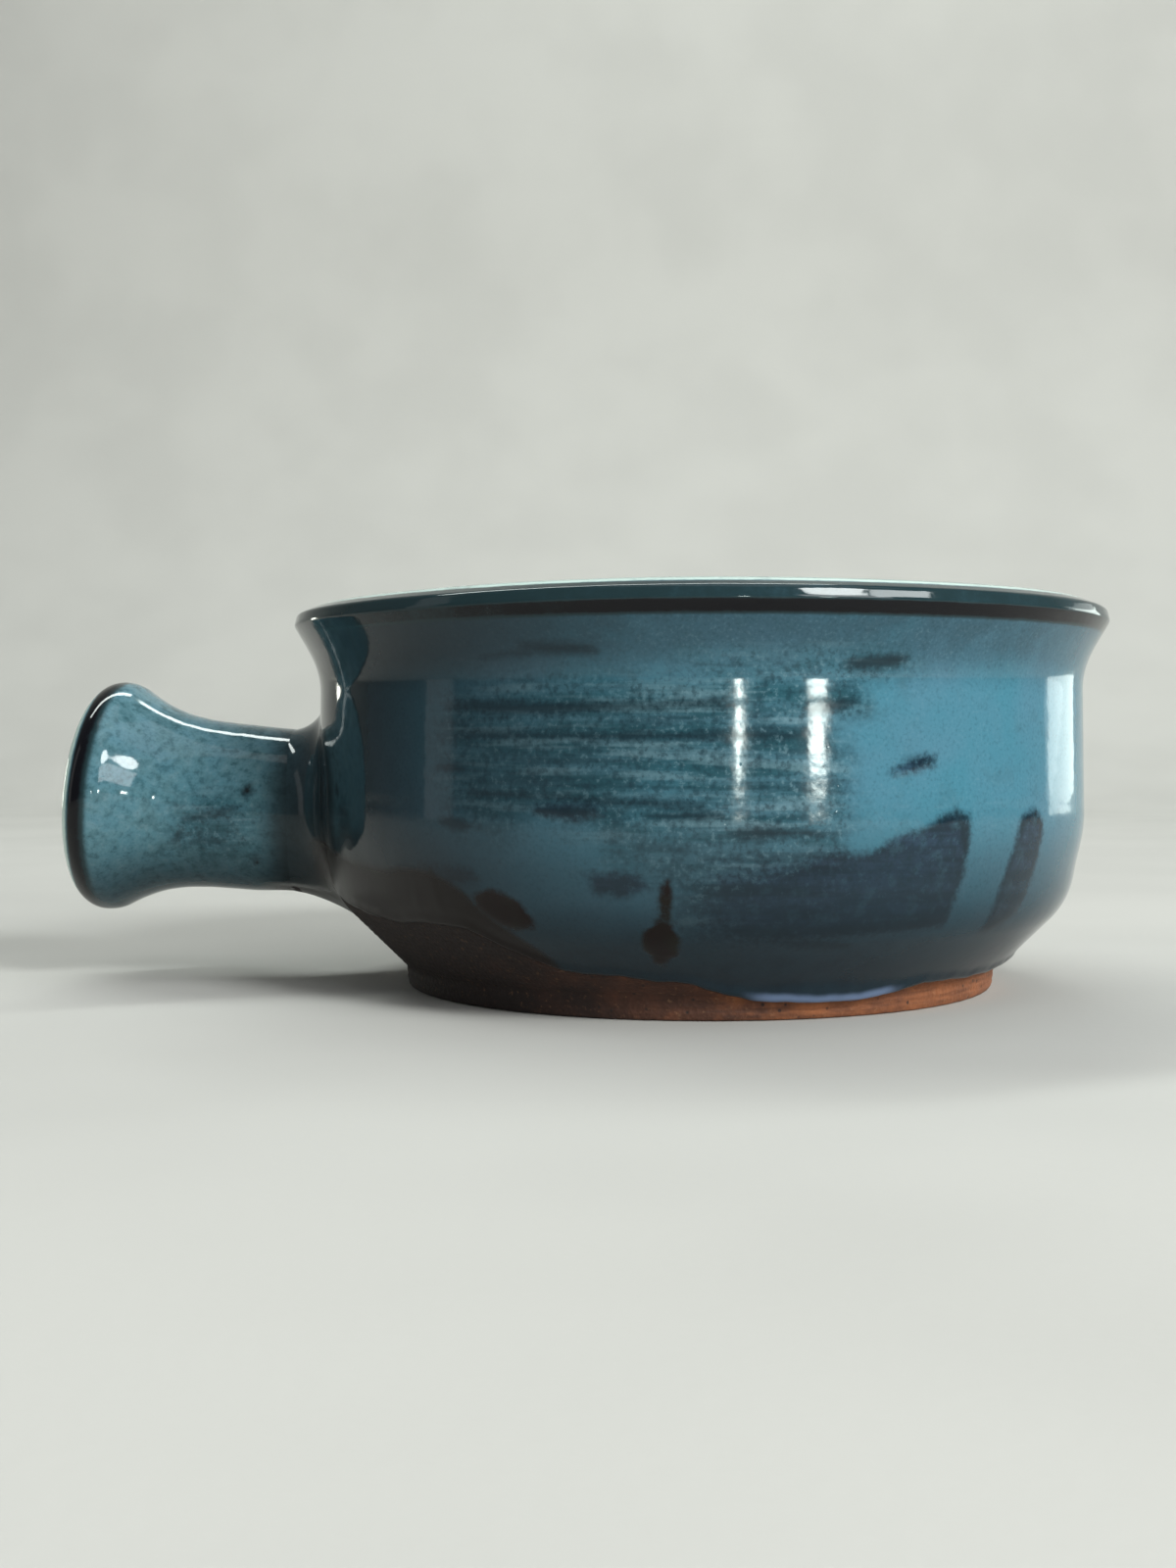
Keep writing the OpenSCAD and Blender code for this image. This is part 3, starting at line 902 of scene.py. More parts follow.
class Tree:
    """The node tree of one finish."""

    def __init__(self, name: str) -> None:
        """Makes an empty material, with the place on the piece in millimetres at hand.

        Args:
            name: the material's name.
        """
        self.material = bpy.data.materials.new(name)
        self.material.use_nodes = True
        self.nodes = self.material.node_tree.nodes
        self.links = self.material.node_tree.links
        self.nodes.clear()
        place = self.add("ShaderNodeTexCoord", out="Object")
        self.place = self.add("ShaderNodeVectorMath", {"operation": "SCALE"},
                              {"Vector": place, "Scale": 1 / MM}, out="Vector")

    def add(self, kind: str, settings: dict | None = None, inputs: dict | None = None,
            out: int | str = 0) -> Sock:
        """Adds one node.

        Args:
            kind: the node's type.
            settings: its own settings, set first.
            inputs: values or sockets by input name or number.
            out: the output that is returned.

        Returns:
            The chosen output.
        """
        node = self.nodes.new(kind)
        for key, value in (settings or {}).items():
            setattr(node, key, value)
        for key, value in (inputs or {}).items():
            if isinstance(value, Sock):
                self.links.new(value.socket, node.inputs[key])
            else:
                node.inputs[key].default_value = value
        return Sock(self, node.outputs[out])

    def mix(self, share: Sock | float, a: object, b: object) -> Sock:
        """Mixes two colours: a where share is 0 and b where it is 1."""
        return self.add("ShaderNodeMix", {"data_type": "RGBA", "clamp_factor": True},
                        {0: share, 6: a, 7: b}, out=2)

    def layered(self, base: object, *layers: tuple, within: Sock | None = None) -> Sock:
        """Lays colours over a base in turn, each where its pattern rises.

        Args:
            base: the first colour.
            layers: for each layer its pattern, the two values between which the pattern rises,
                the most that the layer covers, and its colour.
            within: a share that all the layers keep to.

        Returns:
            The colour with the layers on it.
        """
        for pattern, low, high, most, tint in layers:
            share = pattern.rise(low, high)
            share = share if within is None else within * share
            base = self.mix(share if most == 1 else share * most, base, tint)
        return base

    def stretched(self, x: float, y: float, z: float) -> Sock:
        """Returns the place in millimetres, each way multiplied."""
        return self.add("ShaderNodeVectorMath", {"operation": "MULTIPLY"},
                        {0: self.place, 1: (x, y, z)}, out="Vector")

    def noise(self, size: float, detail: float = 2.0, rough: float = 0.5,
              vector: Sock | None = None) -> Sock:
        """Adds cloudy noise.

        Args:
            size: about how many millimetres across a patch is.
            detail: number of finer layers.
            rough: share of the finer layers.
            vector: place to take the noise at, if not the place on the piece.

        Returns:
            The noise, of 0 to 1.
        """
        return self.add("ShaderNodeTexNoise", {"noise_dimensions": "3D"},
                        {"Vector": vector or self.place, "Scale": 1 / size, "Detail": detail,
                         "Roughness": rough})

    def cells(self, size: float) -> Sock:
        """Returns the distance to the nearest of scattered points about `size` apart."""
        return self.add("ShaderNodeTexVoronoi", {"feature": "F1"},
                        {"Vector": self.place, "Scale": 1 / size}, out="Distance")

    def value(self, name: str) -> Sock:
        """Returns a named value of the mesh."""
        return self.add("ShaderNodeAttribute", {"attribute_name": name}, out="Fac")

    def height(self) -> Sock:
        """Returns the height above the table in millimetres."""
        return self.add("ShaderNodeSeparateXYZ", inputs={0: self.place}, out=2)

    def finish(self, base: object, rough: object, bump: Sock | None = None, reach: float = 0.0001,
               **fixed: float) -> bpy.types.Material:
        """Closes the tree with a Principled shader.

        Args:
            base: the colour.
            rough: the roughness.
            bump: height of 0 to 1 for the surface's fine relief.
            reach: the relief's height in metres.
            fixed: constants for other sockets, with spaces written as underscores.

        Returns:
            The material.
        """
        inputs: dict = {"Base Color": base, "Roughness": rough}
        if bump is not None:
            inputs["Normal"] = self.add("ShaderNodeBump", None,
                                        {"Height": bump, "Distance": reach, "Strength": 1.0})
        inputs.update({k.replace("_", " "): v for k, v in fixed.items()})
        shader = self.add("ShaderNodeBsdfPrincipled", None, inputs)
        output = self.nodes.new("ShaderNodeOutputMaterial")
        self.links.new(shader.socket, output.inputs[0])
        return self.material


# Finishes

@dataclass(frozen=True)
class OutsideGlaze:
    """The blue outside glaze with its brushed ground, dark dips, strokes and iron runs."""

    sky: Colour = colour(66, 118, 135)
    haze: Colour = colour(86, 118, 136)
    # Colour of the painted shade on the flare
    flare: Colour = colour(49, 78, 91)
    ground: Colour = colour(28, 66, 74)
    veil: Colour = colour(62, 97, 109)
    dove: Colour = colour(86, 122, 131)
    # Colour of the painted shade's first step
    dim_shade: Colour = colour(50, 70, 78)
    fleck: Colour = colour(114, 143, 152)
    ink: Colour = colour(10, 28, 36)
    plum: Colour = colour(11, 18, 34)
    lilac: Colour = colour(34, 49, 69)
    iron: Colour = colour(16, 4, 3)
    # Colour of the lip's lower edge: a dark glaze break with painted shade
    edge: Colour = colour(9, 9, 14)
    # Brown of glaze that is thin at its lower line, also used for the painted-shade band beside the
    # handle
    rust: Colour = colour(19, 11, 8)
    olive: Colour = colour(20, 20, 13)
    # Colour of the darkest painted shade
    deep_shade: Colour = colour(9, 16, 25)
    # Colour of the browner painted shade beside the handle
    brown_shade: Colour = colour(15, 14, 12)
    # Colour of the pale crest's glaze break, which also carries a painted highlight
    pale: Colour = colour(196, 220, 213)
    roll: Colour = colour(98, 114, 142)
    lip: Colour = colour(31, 49, 53)
    ior: float = 1.45
    gloss_level: float = 0.32

    def marks(self, t: Tree, base: Sock) -> tuple[Sock, Sock]:
        """Adds the brushed ground, the dips and the strokes, their edges made ragged by noise.

        Args:
            t: the tree.
            base: the glaze's own colour.

        Returns:
            The colour with the marks on it, and how rough the marks are.
        """
        fine, fog = t.noise(0.9, 3.0, 0.6), t.noise(3.0, 2.0, 0.5)
        drift, cloud = t.noise(5.0, 3.0, 0.6), t.noise(16.0, 3.0, 0.5)
        sweep = t.noise(1.9, 3.0, 0.6, t.stretched(0.10, 0.10, 1.0))
        streak = t.noise(1.5, 2.0, 0.5, t.stretched(0.08, 0.08, 1.0))
        ragged = (fine - 0.5) * 3.0 + (drift - 0.5) * 7.0 + (sweep - 0.5) * 9.0
        brushed = (t.value("brushed") + ragged).rise(-4.6, 4.0)
        dipped = (t.value("dipped") + (fine - 0.5) * 1.8 + (drift - 0.5) * 1.6).rise(-1.0, 1.0)
        stroke = (t.value("stroke") + (sweep - 0.5) * 1.6 + (fine - 0.5) * 1.2).rise(-0.95, 0.7)

        ground = t.layered(
            self.ground,
            (sweep, 0.36, 0.64, 1.0, self.veil), (cloud, 0.44, 0.60, 0.30, self.sky),
            (streak, 0.48, 0.30, 0.45, self.fleck), (streak, 0.50, 0.72, 0.50, self.ink),
            (fog, 0.50, 0.66, 0.30, self.ink), (fine, 0.49, 0.66, 0.55, self.ink),
            (fine, 0.45, 0.32, 0.38, self.fleck))
        dots = t.cells(2.0).rise(0.34, 0.14) * fog.rise(0.42, 0.56) * 0.5
        base = t.mix(brushed * 0.88, base, t.mix(dots, ground, self.ink))

        dip = t.layered(
            self.plum,
            (sweep, 0.36, 0.64, 1.0, self.lilac), (fog, 0.50, 0.36, 0.30, self.veil),
            (fog, 0.50, 0.66, 0.35, self.ink), (fine, 0.50, 0.64, 0.60, self.ink),
            (fine, 0.44, 0.31, 0.30, self.veil), (streak, 0.54, 0.70, 0.4, self.ink))
        base = t.mix(dipped * 0.94, base, dip)
        outline = dipped * t.value("dipped").rise(1.8, 0.4) * t.value("outlined")
        base = t.mix(outline * 0.6, base, self.ink)
        base = t.mix(stroke * (1.10 - fine * 0.5) * (1 - 0.35 * t.value("mottle")), base, self.ink)
        return base, brushed * 0.03 + dipped * 0.02 + stroke * 0.04

    def material(self) -> bpy.types.Material:
        """Builds the finish: the glaze, its marks, its dark places of painted shade, its thin
        places, and its pale crest, which carries a painted highlight.

        Returns:
            The material.
        """
        t = Tree("outside_glaze")
        fine, grain, blot = t.noise(1.0, 3.0, 0.6), t.noise(0.5, 2.0, 0.5), t.noise(1.7, 3.0, 0.6)
        cloud, drift = t.noise(22.0, 3.0, 0.5), t.noise(5.0, 3.0, 0.6)
        tone, dusk, browned, mottle = (t.value(n) for n in ("tone", "dusk", "browned", "mottle"))
        base = t.mix((cloud - 0.5) * 2.6 + 0.32, self.sky, self.haze)
        # Painted shade on the flare under the lip and on the underside of the handle's mouth
        base = t.mix(t.value("shade") * (0.85 + (drift - 0.5) * 0.9), base, self.flare)
        base = t.layered(base, (drift, 0.52, 0.72, 0.30, self.veil))
        base = t.mix(mottle * (drift.rise(0.36, 0.62) * 0.35 + 0.55), base, self.dove)
        base = t.layered(
            base, (blot, 0.48, 0.68, 0.50, self.ground), (drift, 0.52, 0.66, 0.30, self.ground),
            (blot, 0.46, 0.30, 0.30, self.fleck), within=mottle)
        base = t.layered(base, (grain, 0.50, 0.76, 0.22, self.ink),
                         (grain, 0.46, 0.24, 0.16, self.fleck))
        base, rough = self.marks(t, base)

        # Painted shade: the glaze goes dim and then dark by the handle, low down, high on the left
        # and in the corners by the root
        base = t.mix(tone * 0.8, base, self.dim_shade)
        darkest = t.mix(t.value("brown_shade"), self.deep_shade, self.brown_shade)
        base = t.mix(tone * (0.98 - drift * 0.22), base, darkest)
        # The lip's face and lower edge go dark: a dark glaze break with painted shade along the
        # lower edge
        wall = dusk + (drift - 0.5) * 0.5 * dusk + (fine - 0.5) * 0.3 * dusk
        iron = t.value("iron") + (fine - 0.5) * 1.2 + (drift - 0.5) * 1.4
        rust = t.mix(cloud.rise(0.50, 0.56), self.iron, self.olive)
        # Glaze gone brown: thin at its lower line, plus a painted-shade brown band beside the
        # handle
        brown_share = browned + ((fine - 0.5) * 0.6 + (drift - 0.5) * 1.2) * browned
        # The pale crest: glaze that breaks pale over the lip, with a painted highlight
        crest = t.value("pale") * (0.92 + (drift - 0.5) * 1.1) + (fine - 0.5) * 0.4
        base = t.layered(
            base, (wall, 0.05, 0.55, 1.0, self.lip), (wall, 0.52, 0.92, 1.0, self.edge),
            (iron, -0.6, 0.7, 1.0, rust), (brown_share, 0.12, 0.75, 1.0, self.rust),
            (t.value("roll") + (drift - 0.5) * 0.3, 0.2, 1.0, 1.0, self.roll),
            (crest, 0.15, 0.95, 1.0, self.pale))

        pits = t.cells(3.1).rise(0.09, 0.0)
        relief = drift * 0.6 + fine * 0.06 - pits * 0.4 + t.noise(2.4, 1.0) * 0.3
        return t.finish(base, rough + browned * 0.30 + 0.065, relief, 0.00004,
                        IOR=self.ior, Specular_IOR_Level=self.gloss_level)


@dataclass(frozen=True)
class LinerGlaze:
    """The plainer inside glaze, which pools darker and bluer in the floor."""

    wall: Colour = colour(88, 134, 148)
    haze: Colour = colour(112, 140, 148)
    pool: Colour = colour(38, 82, 100)
    speck: Colour = colour(40, 52, 56)
    pale: Colour = colour(205, 226, 218)
    ior: float = 1.5

    def material(self) -> bpy.types.Material:
        """Builds the finish: clouds on the wall, a deeper pool by height and iron specks.

        Returns:
            The material.
        """
        t = Tree("liner_glaze")
        drift, fine = t.noise(6.0, 3.0, 0.55), t.noise(1.0, 3.0, 0.6)
        sweep = t.noise(1.6, 4.0, 0.6, t.stretched(0.12, 0.12, 1.0))
        base = t.layered(
            self.wall,
            (t.noise(17.0, 3.0), 0.38, 0.66, 1.0, self.haze), (sweep, 0.50, 0.72, 0.35, self.pool),
            (t.height() + (drift - 0.5) * 9.0, 24.0, 8.5, 0.85, self.pool),
            (t.cells(4.2), 0.16, 0.07, 0.8, self.speck), (fine, 0.60, 0.74, 0.2, self.speck),
            (t.value("pale") + (fine - 0.5) * 0.25, 0.3, 0.8, 1.0, self.pale))
        pits = t.cells(3.4).rise(0.09, 0.0)
        relief = drift * 0.5 + fine * 0.06 - pits * 0.25 + t.noise(2.4, 1.0) * 0.3
        return t.finish(base, 0.10 + fine * 0.05, relief, 0.00011, IOR=self.ior)


@dataclass(frozen=True)
class FiredClay:
    """Bare clay or slip, with painted shade that darkens it towards the handle, and orange away
    from it.
    """

    name: str = "bare_stoneware"
    # Colour of the painted shade on the left, also used for the dark streaks
    dark: Colour = colour(25, 12, 9)
    warm: Colour = colour(98, 56, 35)
    orange: Colour = colour(142, 84, 48)
    sand: Colour = colour(188, 142, 104)
    iron: Colour = colour(24, 13, 11)
    rough: float = 0.82

    def material(self) -> bpy.types.Material:
        """Builds the finish: painted shade that deepens to the left, sand grains and iron specks.

        Returns:
            The material.
        """
        t = Tree(self.name)
        cloud, fine = t.noise(9.0, 4.0, 0.6), t.noise(0.8, 3.0, 0.65)
        sweep = t.noise(0.9, 3.0, 0.6, t.stretched(0.1, 0.1, 1.0))
        # Painted shade: darker to the left, towards the handle
        across = t.add("ShaderNodeSeparateXYZ", inputs={0: t.place}, out=0)
        side = (across + (cloud - 0.5) * 60.0).rise(-34.0, 34.0)
        base = t.layered(
            t.mix(side, self.dark, self.warm),
            (cloud * 0.7 + side * 0.5, 0.62, 1.0, 1.0, self.orange),
            (sweep, 0.46, 0.70, 0.4, self.dark), (fine, 0.58, 0.74, 0.16, self.sand),
            (t.cells(1.9), 0.20, 0.08, 0.85, self.iron))
        relief = fine * 0.5 + t.cells(0.7) * 0.4 + sweep * 0.3
        return t.finish(base, self.rough + fine * 0.12 - 0.06, relief, 0.00022)


@dataclass(frozen=True)
class StudioPaper:
    """The plain pale paper of the floor and backdrop."""

    tone: Colour = colour(197, 195, 190)
    soft_share: float = 0.94

    def material(self) -> bpy.types.Material:
        """Builds a matt paper with the faintest mottle.

        Returns:
            The material.
        """
        t = Tree("studio_paper")
        soft_tone = tuple(self.soft_share * c for c in self.tone[:3]) + (1.0,)
        base = t.layered(self.tone, (t.noise(90.0, 2.0), 0.3, 0.7, 1.0, soft_tone))
        return t.finish(base, 0.9, t.noise(2.0, 2.0), 0.00004)


# Sub-assemblies

# Share of the root's and the tube's glaze that is gone below the glaze line
THINNED = 0.94

# Share of a coat's thickness that is gone where it thins out to its edge
EDGE_SHARE = 0.98

# Height, first bearing and last bearing of each groove, which lie under the long strokes
GROOVES = ((47.1, -36, 8), (43.0, -34, 16), (34.0, -31, 4), (31.6, -22, 14), (28.9, 4, 18),
           (14.9, 5, 38), (46.8, 118, 178), (42.3, 124, 192), (30.9, 148, 198))


@dataclass
class ThrownBowl:
    """The clay bowl and its two coats of glaze."""

    form: BowlForm = field(default_factory=BowlForm)
    handle: HandleForm = field(default_factory=HandleForm)
    line: GlazeLine = field(default_factory=GlazeLine)
    cols: int = 480
    clay_cols: int = 360
    stride: int = 6
    liner_stride: int = 4
    low_rows: int = 43
    low_ease: float = 1.35
    even_z: float = 19.0
    flare_z: float = 58.0
    lip_len: float = 7.6
    ring_pitch: float = 3.3
    ring_depth: float = 0.005
    ring_low_z: Span = (9, 16)
    ring_high_z: Span = (53, 60)
    groove_depth: float = 0.005
    groove_half: float = 0.55
    finger_pitch: float = 4.1
    finger_depth: float = 0.07
    tuck: float = 0.07
    tuck_off: Span = (-1.6, 0.1)
    calm_off: Span = (0.5, 8.0)
    bead: float = 0.30
    roll_bead: float = 0.95
    edge_round: float = 1.0
    iron_lift: float = 0.16
    iron_edge: Span = (-0.5, 1.2)
    dip_lift: float = 0.05
    dip_edge: Span = (-0.5, 0.6)
    hole_margin: float = 2.2
    lip_wave: float = 0.16
    lip_ripple: float = 0.006
    ripple_in: Span = (2.4, 4.0)
    ripple_out: Span = (6.0, 8.0)
    thin_len: float = 1.6
    thin_share: float = 0.3
    thin_spread: float = 5.5
    roll_share: Span = (0.15, 0.7)
    roll_len: Span = (1.6, 3.4)
    # The pale crest, a glaze break with a painted highlight
    crest_len: Span = (1.3, 2.5)
    # Painted shade on the flare under the lip, strongest facing lit_middle
    shade_z: Span = (48.5, 56)
    lit_share: float = 0.3
    lit_middle: float = 15
    lit_off: Span = (20, 70)
    # Painted shade by the handle, high on the left, low down and in the corners by the root
    side_shade: float = 0.97
    side_by: Triple = (-90, 26, 100)
    high_shade: float = 0.45
    high_by: Triple = (-70, 30, 75)
    high_z: Span = (49, 56)
    low_shade: float = 0.95
    low_z: Span = (6, 36)
    corner_shade: float = 0.80
    corner_by: Triple = (-90, 40, 72)
    corner_z: Span = (16, 32)
    # Bearings of the browner painted shade beside the handle
    brown_shade_by: Triple = (-90, 22, 66)
    # Painted shade: a brown band over the glaze line beside the handle
    band_reach: float = 9.0
    band_share: float = 0.85
    band_by: Triple = (-60, 18, 50)
    band_least: Span = (0.8, 3.0)
    band_edge: Span = (-1.6, 1.4)
    face_dusk: float = 0.5
    face_in: Span = (1.7, 2.6)
    face_out: Span = (6.0, 8.4)
    # The lip's lower edge: a dark glaze break with painted shade, strongest at the front
    edge_in: Span = (5.3, 6.1)
    edge_out: Span = (7.4, 8.7)
    edge_dusk: float = 0.72
    edge_more: float = 0.28
    edge_middle: float = 22
    edge_near: Span = (0.55, 0.95)
    tool_pitch: float = 1.15
    tool_depth: float = 0.05
    chatter_depth: float = 0.02
    turned_in: float = 0.08

    def bearings(self) -> Array:
        """Returns the bearing of each column."""
        return np.arange(self.cols) * 360 / self.cols

    def placed(self, line: Array, z: Array) -> Array:
        """Places [radius, height] points by their columns, raised by the lip's wave at z."""
        bearing = self.bearings()
        return revolved(line[..., 0], line[..., 1] + self.wave(z, bearing), np.radians(bearing))

    def wave(self, z: Array, bearing: Array) -> Array:
        """Works out the lip's slow rise and fall, two sines that fade in above the waist.

        Args:
            z: height of each point.
            bearing: bearing of each point.

        Returns:
            The rise of each point.
        """
        turn = np.radians(bearing)
        share = smooth(z, self.form.waist_z, self.form.height)
        return self.lip_wave * share * (np.sin(2 * turn + 0.9) + 0.5 * np.sin(5 * turn + 2.1))

    def rings(self, z: Array, bearing: Array) -> Array:
        """Works out the throwing rings: a sine in height whose phase winds up with the bearing.

        Grooves lie at the heights of the long strokes, and all of it fades at the knuckle and lip.

        Args:
            z: height of each point.
            bearing: bearing of each point.

        Returns:
            How far each point stands out.
        """
        turn = np.radians(bearing)
        wind = 2 * math.pi * z / self.ring_pitch + turn
        swing = 0.6 + 0.4 * np.sin(turn * 2 + z / 7)
        out = self.ring_depth * swing * (np.sin(wind) + 0.4 * np.sin(2.3 * wind + 1.7))
        for height, start, stop in GROOVES:
            half = (stop - start) / 2
            along = beside(bearing, (start + stop) / 2, half - 6, half + 4)
            out = out - self.groove_depth * along * hump(z, height, self.groove_half)
        return out * (smooth(z, *self.ring_low_z) * fall(z, *self.ring_high_z))

    def lip_relief(self, to_top: Array, bearing: Array) -> Array:
        """Works out the lip's small unevenness: two sines that wind round its edge.

        Args:
            to_top: length along the outline from each point to the lip's top.
            bearing: bearing of each point.

        Returns:
            How far each point stands out.
        """
        turn = np.radians(bearing)
        near = smooth(to_top, *self.ripple_in) * fall(to_top, *self.ripple_out)
        return near * (self.lip_ripple * np.sin(23 * turn + 1.8 * to_top)
                       + 0.6 * self.lip_ripple * np.sin(57 * turn - 2.5 * to_top))

    def outside_lengths(self, path: Path, start: Array) -> Array:
        """Lays the outside coat's rows, which follow the glaze line low down and are level above.

        Args:
            path: the outline.
            start: length along it at which each column begins.

        Returns:
            The length of each point of the grid.
        """
        even, flare = (float(path.length_at_height(z)) for z in (self.even_z, self.flare_z))
        length = path.run[-1]
        low = start + (even - start) * np.linspace(0, 1, self.low_rows)[:, None] ** self.low_ease
        top = spaced([(flare, 66), (length - self.lip_len, 10), (length, 49)], even)[1:, None]
        high = np.broadcast_to(top, (len(top), self.cols))
        return whole_strides(np.concatenate([low, high]), self.stride, length)

    def outside_lift(self, line: Array, edge: Array, to_top: Array,
                     marks: dict[str, Array]) -> Array:
        """Works out how far the outside coat stands off its outline.

        Rings, marks and the lip's unevenness add up. The coat ends on the glaze line in a bead,
        whose section is a quarter round, and swells to the roll where it ran.

        Args:
            line: [radius, height] of each point of the outline.
            edge: length from the glaze line to each point.
            to_top: length from each point to the lip's top.
            marks: depths of the marks.

        Returns:
            The distance of each point along its normal.
        """
        bearing, z, t = self.bearings(), line[..., 1], self.form.glaze_t
        places = revolved(line[..., 0], z, np.radians(bearing))
        away = self.handle.clear_of_root(places, *self.calm_off)
        lift = self.rings(z, bearing) * away + self.lip_relief(to_top, bearing)
        lift = lift - self.tuck * (1 - self.handle.clear_of_root(places, *self.tuck_off))
        lift = lift + self.iron_lift * smooth(marks[Mark.IRON.value], *self.iron_edge)
        lift = lift + self.dip_lift * smooth(marks[Mark.DIPPED.value], *self.dip_edge)
        roll = self.line.roll(bearing)
        bead = (self.bead + self.roll_bead * roll) * hump(edge, 1.0 + 0.5 * roll, 0.9 + 0.9 * roll)
        quarter = np.sqrt(np.clip(1 - (1 - np.clip(edge / self.edge_round, 0, 1)) ** 2, 0, 1))
        return (lift + bead * away + t) * quarter - t * EDGE_SHARE

    def kept(self, outer: Array) -> Array:
        """Chooses the blocks of cells to keep: all but those that lie wholly under the root.

        Args:
            outer: the outside coat's outer grid.

        Returns:
            Whether each block is kept, by row of blocks and column.
        """
        off = np.hypot(outer[..., 1], outer[..., 2] - self.handle.axis_z)
        under = (off < self.handle.coil_r - self.hole_margin) & (outer[..., 0] < 0)
        under = under & np.roll(under, -1, axis=1)
        rows = [under[n:n + len(under) - 1:self.stride] for n in range(self.stride + 1)]
        return ~np.all(rows, axis=0)

    def outside_coat(self) -> bpy.types.Object:
        """Builds the outside glaze: the outline moved along its normal, left out under the root.

        Returns:
            The piece.
        """
        path, bearing = self.form.outside(), self.bearings()
        z_line = self.line.height(bearing)
        start = path.length_at_height(z_line)
        s = self.outside_lengths(path, start)
        line, edge, to_top = path.at(s), s - start, path.run[-1] - s
        z, rows = line[..., 1], s[::self.stride]
        marks = mark_depths(BOWL_MARKS, bearing, z, self.form.belly_d / 2)
        outer = self.placed(path.moved(s, self.outside_lift(line, edge, to_top, marks)), z)
        inner = self.placed(path.moved(rows, -self.form.glaze_t), path.at(rows)[..., 1])
        roll = self.line.roll(bearing)
        # The flare's painted shade is full facing lit_middle and weaker elsewhere
        lit = 1 - self.lit_share * smooth(np.abs(wrapped(bearing, self.lit_middle)), *self.lit_off)
        browned = np.maximum(np.clip(1 - edge / self.thin_len, 0, 1),
                          self.thin_share * hump(edge, 0, self.thin_spread))
        values = marks | {
            # Painted shade under the lip, by the handle, low down and in a brown band beside the
            # handle; painted highlight on the pale crest
            "shade": smooth(z, *self.shade_z) * lit,
            "tone": self.tone(z, bearing),
            "brown_shade": self.brown_shade(bearing),
            "roll": smooth(roll, *self.roll_share) * fall(edge, *self.roll_len),
            "dusk": self.lip_dusk(to_top, bearing),
            "browned": (1 - roll) * np.maximum(browned, self.brown_band(z - z_line, bearing)),
            "mottle": 0.0,
            "pale": fall(to_top, *self.crest_len)}
        return Coat(outer, inner, self.stride, values, self.kept(outer)).build("outside_glaze_coat")

    def tone(self, z: Array, bearing: Array) -> Array:
        """Works out the painted shade on the glaze: by the handle, low down, high on the left and
        in the corners there.

        Args:
            z: height of each point.
            bearing: bearing of each point.

        Returns:
            0 where the glaze keeps its colour and 1 where it is darkest.
        """
        side = beside(bearing, *self.side_by)
        high = smooth(z, *self.high_z) * beside(bearing, *self.high_by)
        corner = fall(z, *self.corner_z) * beside(bearing, *self.corner_by)
        light = (1 - self.side_shade * side) * (1 - self.low_shade * fall(z, *self.low_z))
        return 1 - light * (1 - self.high_shade * high) * (1 - self.corner_shade * corner)

    def brown_band(self, above: Array, bearing: Array) -> Array:
        """Works out the painted shade of a brown band over the glaze's lower line beside the
        handle.

        Args:
            above: height of each point over the line.
            bearing: bearing of each point.

        Returns:
            0 outside the band, and up to the band's share in it.
        """
        reach = self.band_reach * beside(bearing, *self.band_by)
        low, high = (reach + step for step in self.band_edge)
        return self.band_share * smooth(reach, *self.band_least) * fall(above, low, high)

    def brown_shade(self, bearing: Array) -> Array:
        """Returns how brown the painted shade is, 1 beside the handle."""
        return beside(bearing, *self.brown_shade_by)

    def lip_dusk(self, to_top: Array, bearing: Array) -> Array:
        """Works out how dark the lip is: greenish on its face, near black along its lower edge,
        where a dark glaze break carries painted shade that is strongest at the front.

        Args:
            to_top: length along the outline from each point to the lip's top.
            bearing: bearing of each point.

        Returns:
            0 off the lip, a middling value on its face and up to 1 along its lower edge.
        """
        face = smooth(to_top, *self.face_in) * fall(to_top, *self.face_out) * self.face_dusk
        # Painted shade: the lower edge is darkest on the side facing edge_middle
        front = np.cos(np.radians(wrapped(bearing, self.edge_middle)))
        strong = self.edge_dusk + self.edge_more * smooth(front, *self.edge_near)
        lower = smooth(to_top, *self.edge_in) * fall(to_top, *self.edge_out) * strong
        return np.maximum(face, lower)

    def inside_coat(self) -> bpy.types.Object:
        """Builds the liner: the inside outline with soft finger rings that wind to the floor.

        Returns:
            The piece.
        """
        path = self.form.inside()
        length = path.run[-1]
        flat = length - self.form.floor_flat_d / 2
        s = spaced([(6.0, 30), (flat, 74), (length - 4.0, 38), (length - 0.6, 4)], 0.0)[:, None]
        z = path.at(s)[..., 1]
        wind = 2 * math.pi * s / self.finger_pitch + np.radians(self.bearings())
        calm = smooth(s, 6, 16) * (1 - 0.75 * smooth(s, flat - 12, flat + 2))
        relief = self.finger_depth * np.sin(wind) * (calm * fall(s, length - 9, length))
        grid = self.placed(path.moved(s, relief), z)
        back = self.placed(path.moved(s, -self.form.glaze_t), z)
        pale = np.broadcast_to(0.5 - 0.5 * smooth(s, 0.0, 0.8), grid.shape[:2])
        return self.dish("liner_glaze_coat", grid, back[::self.liner_stride], pale)

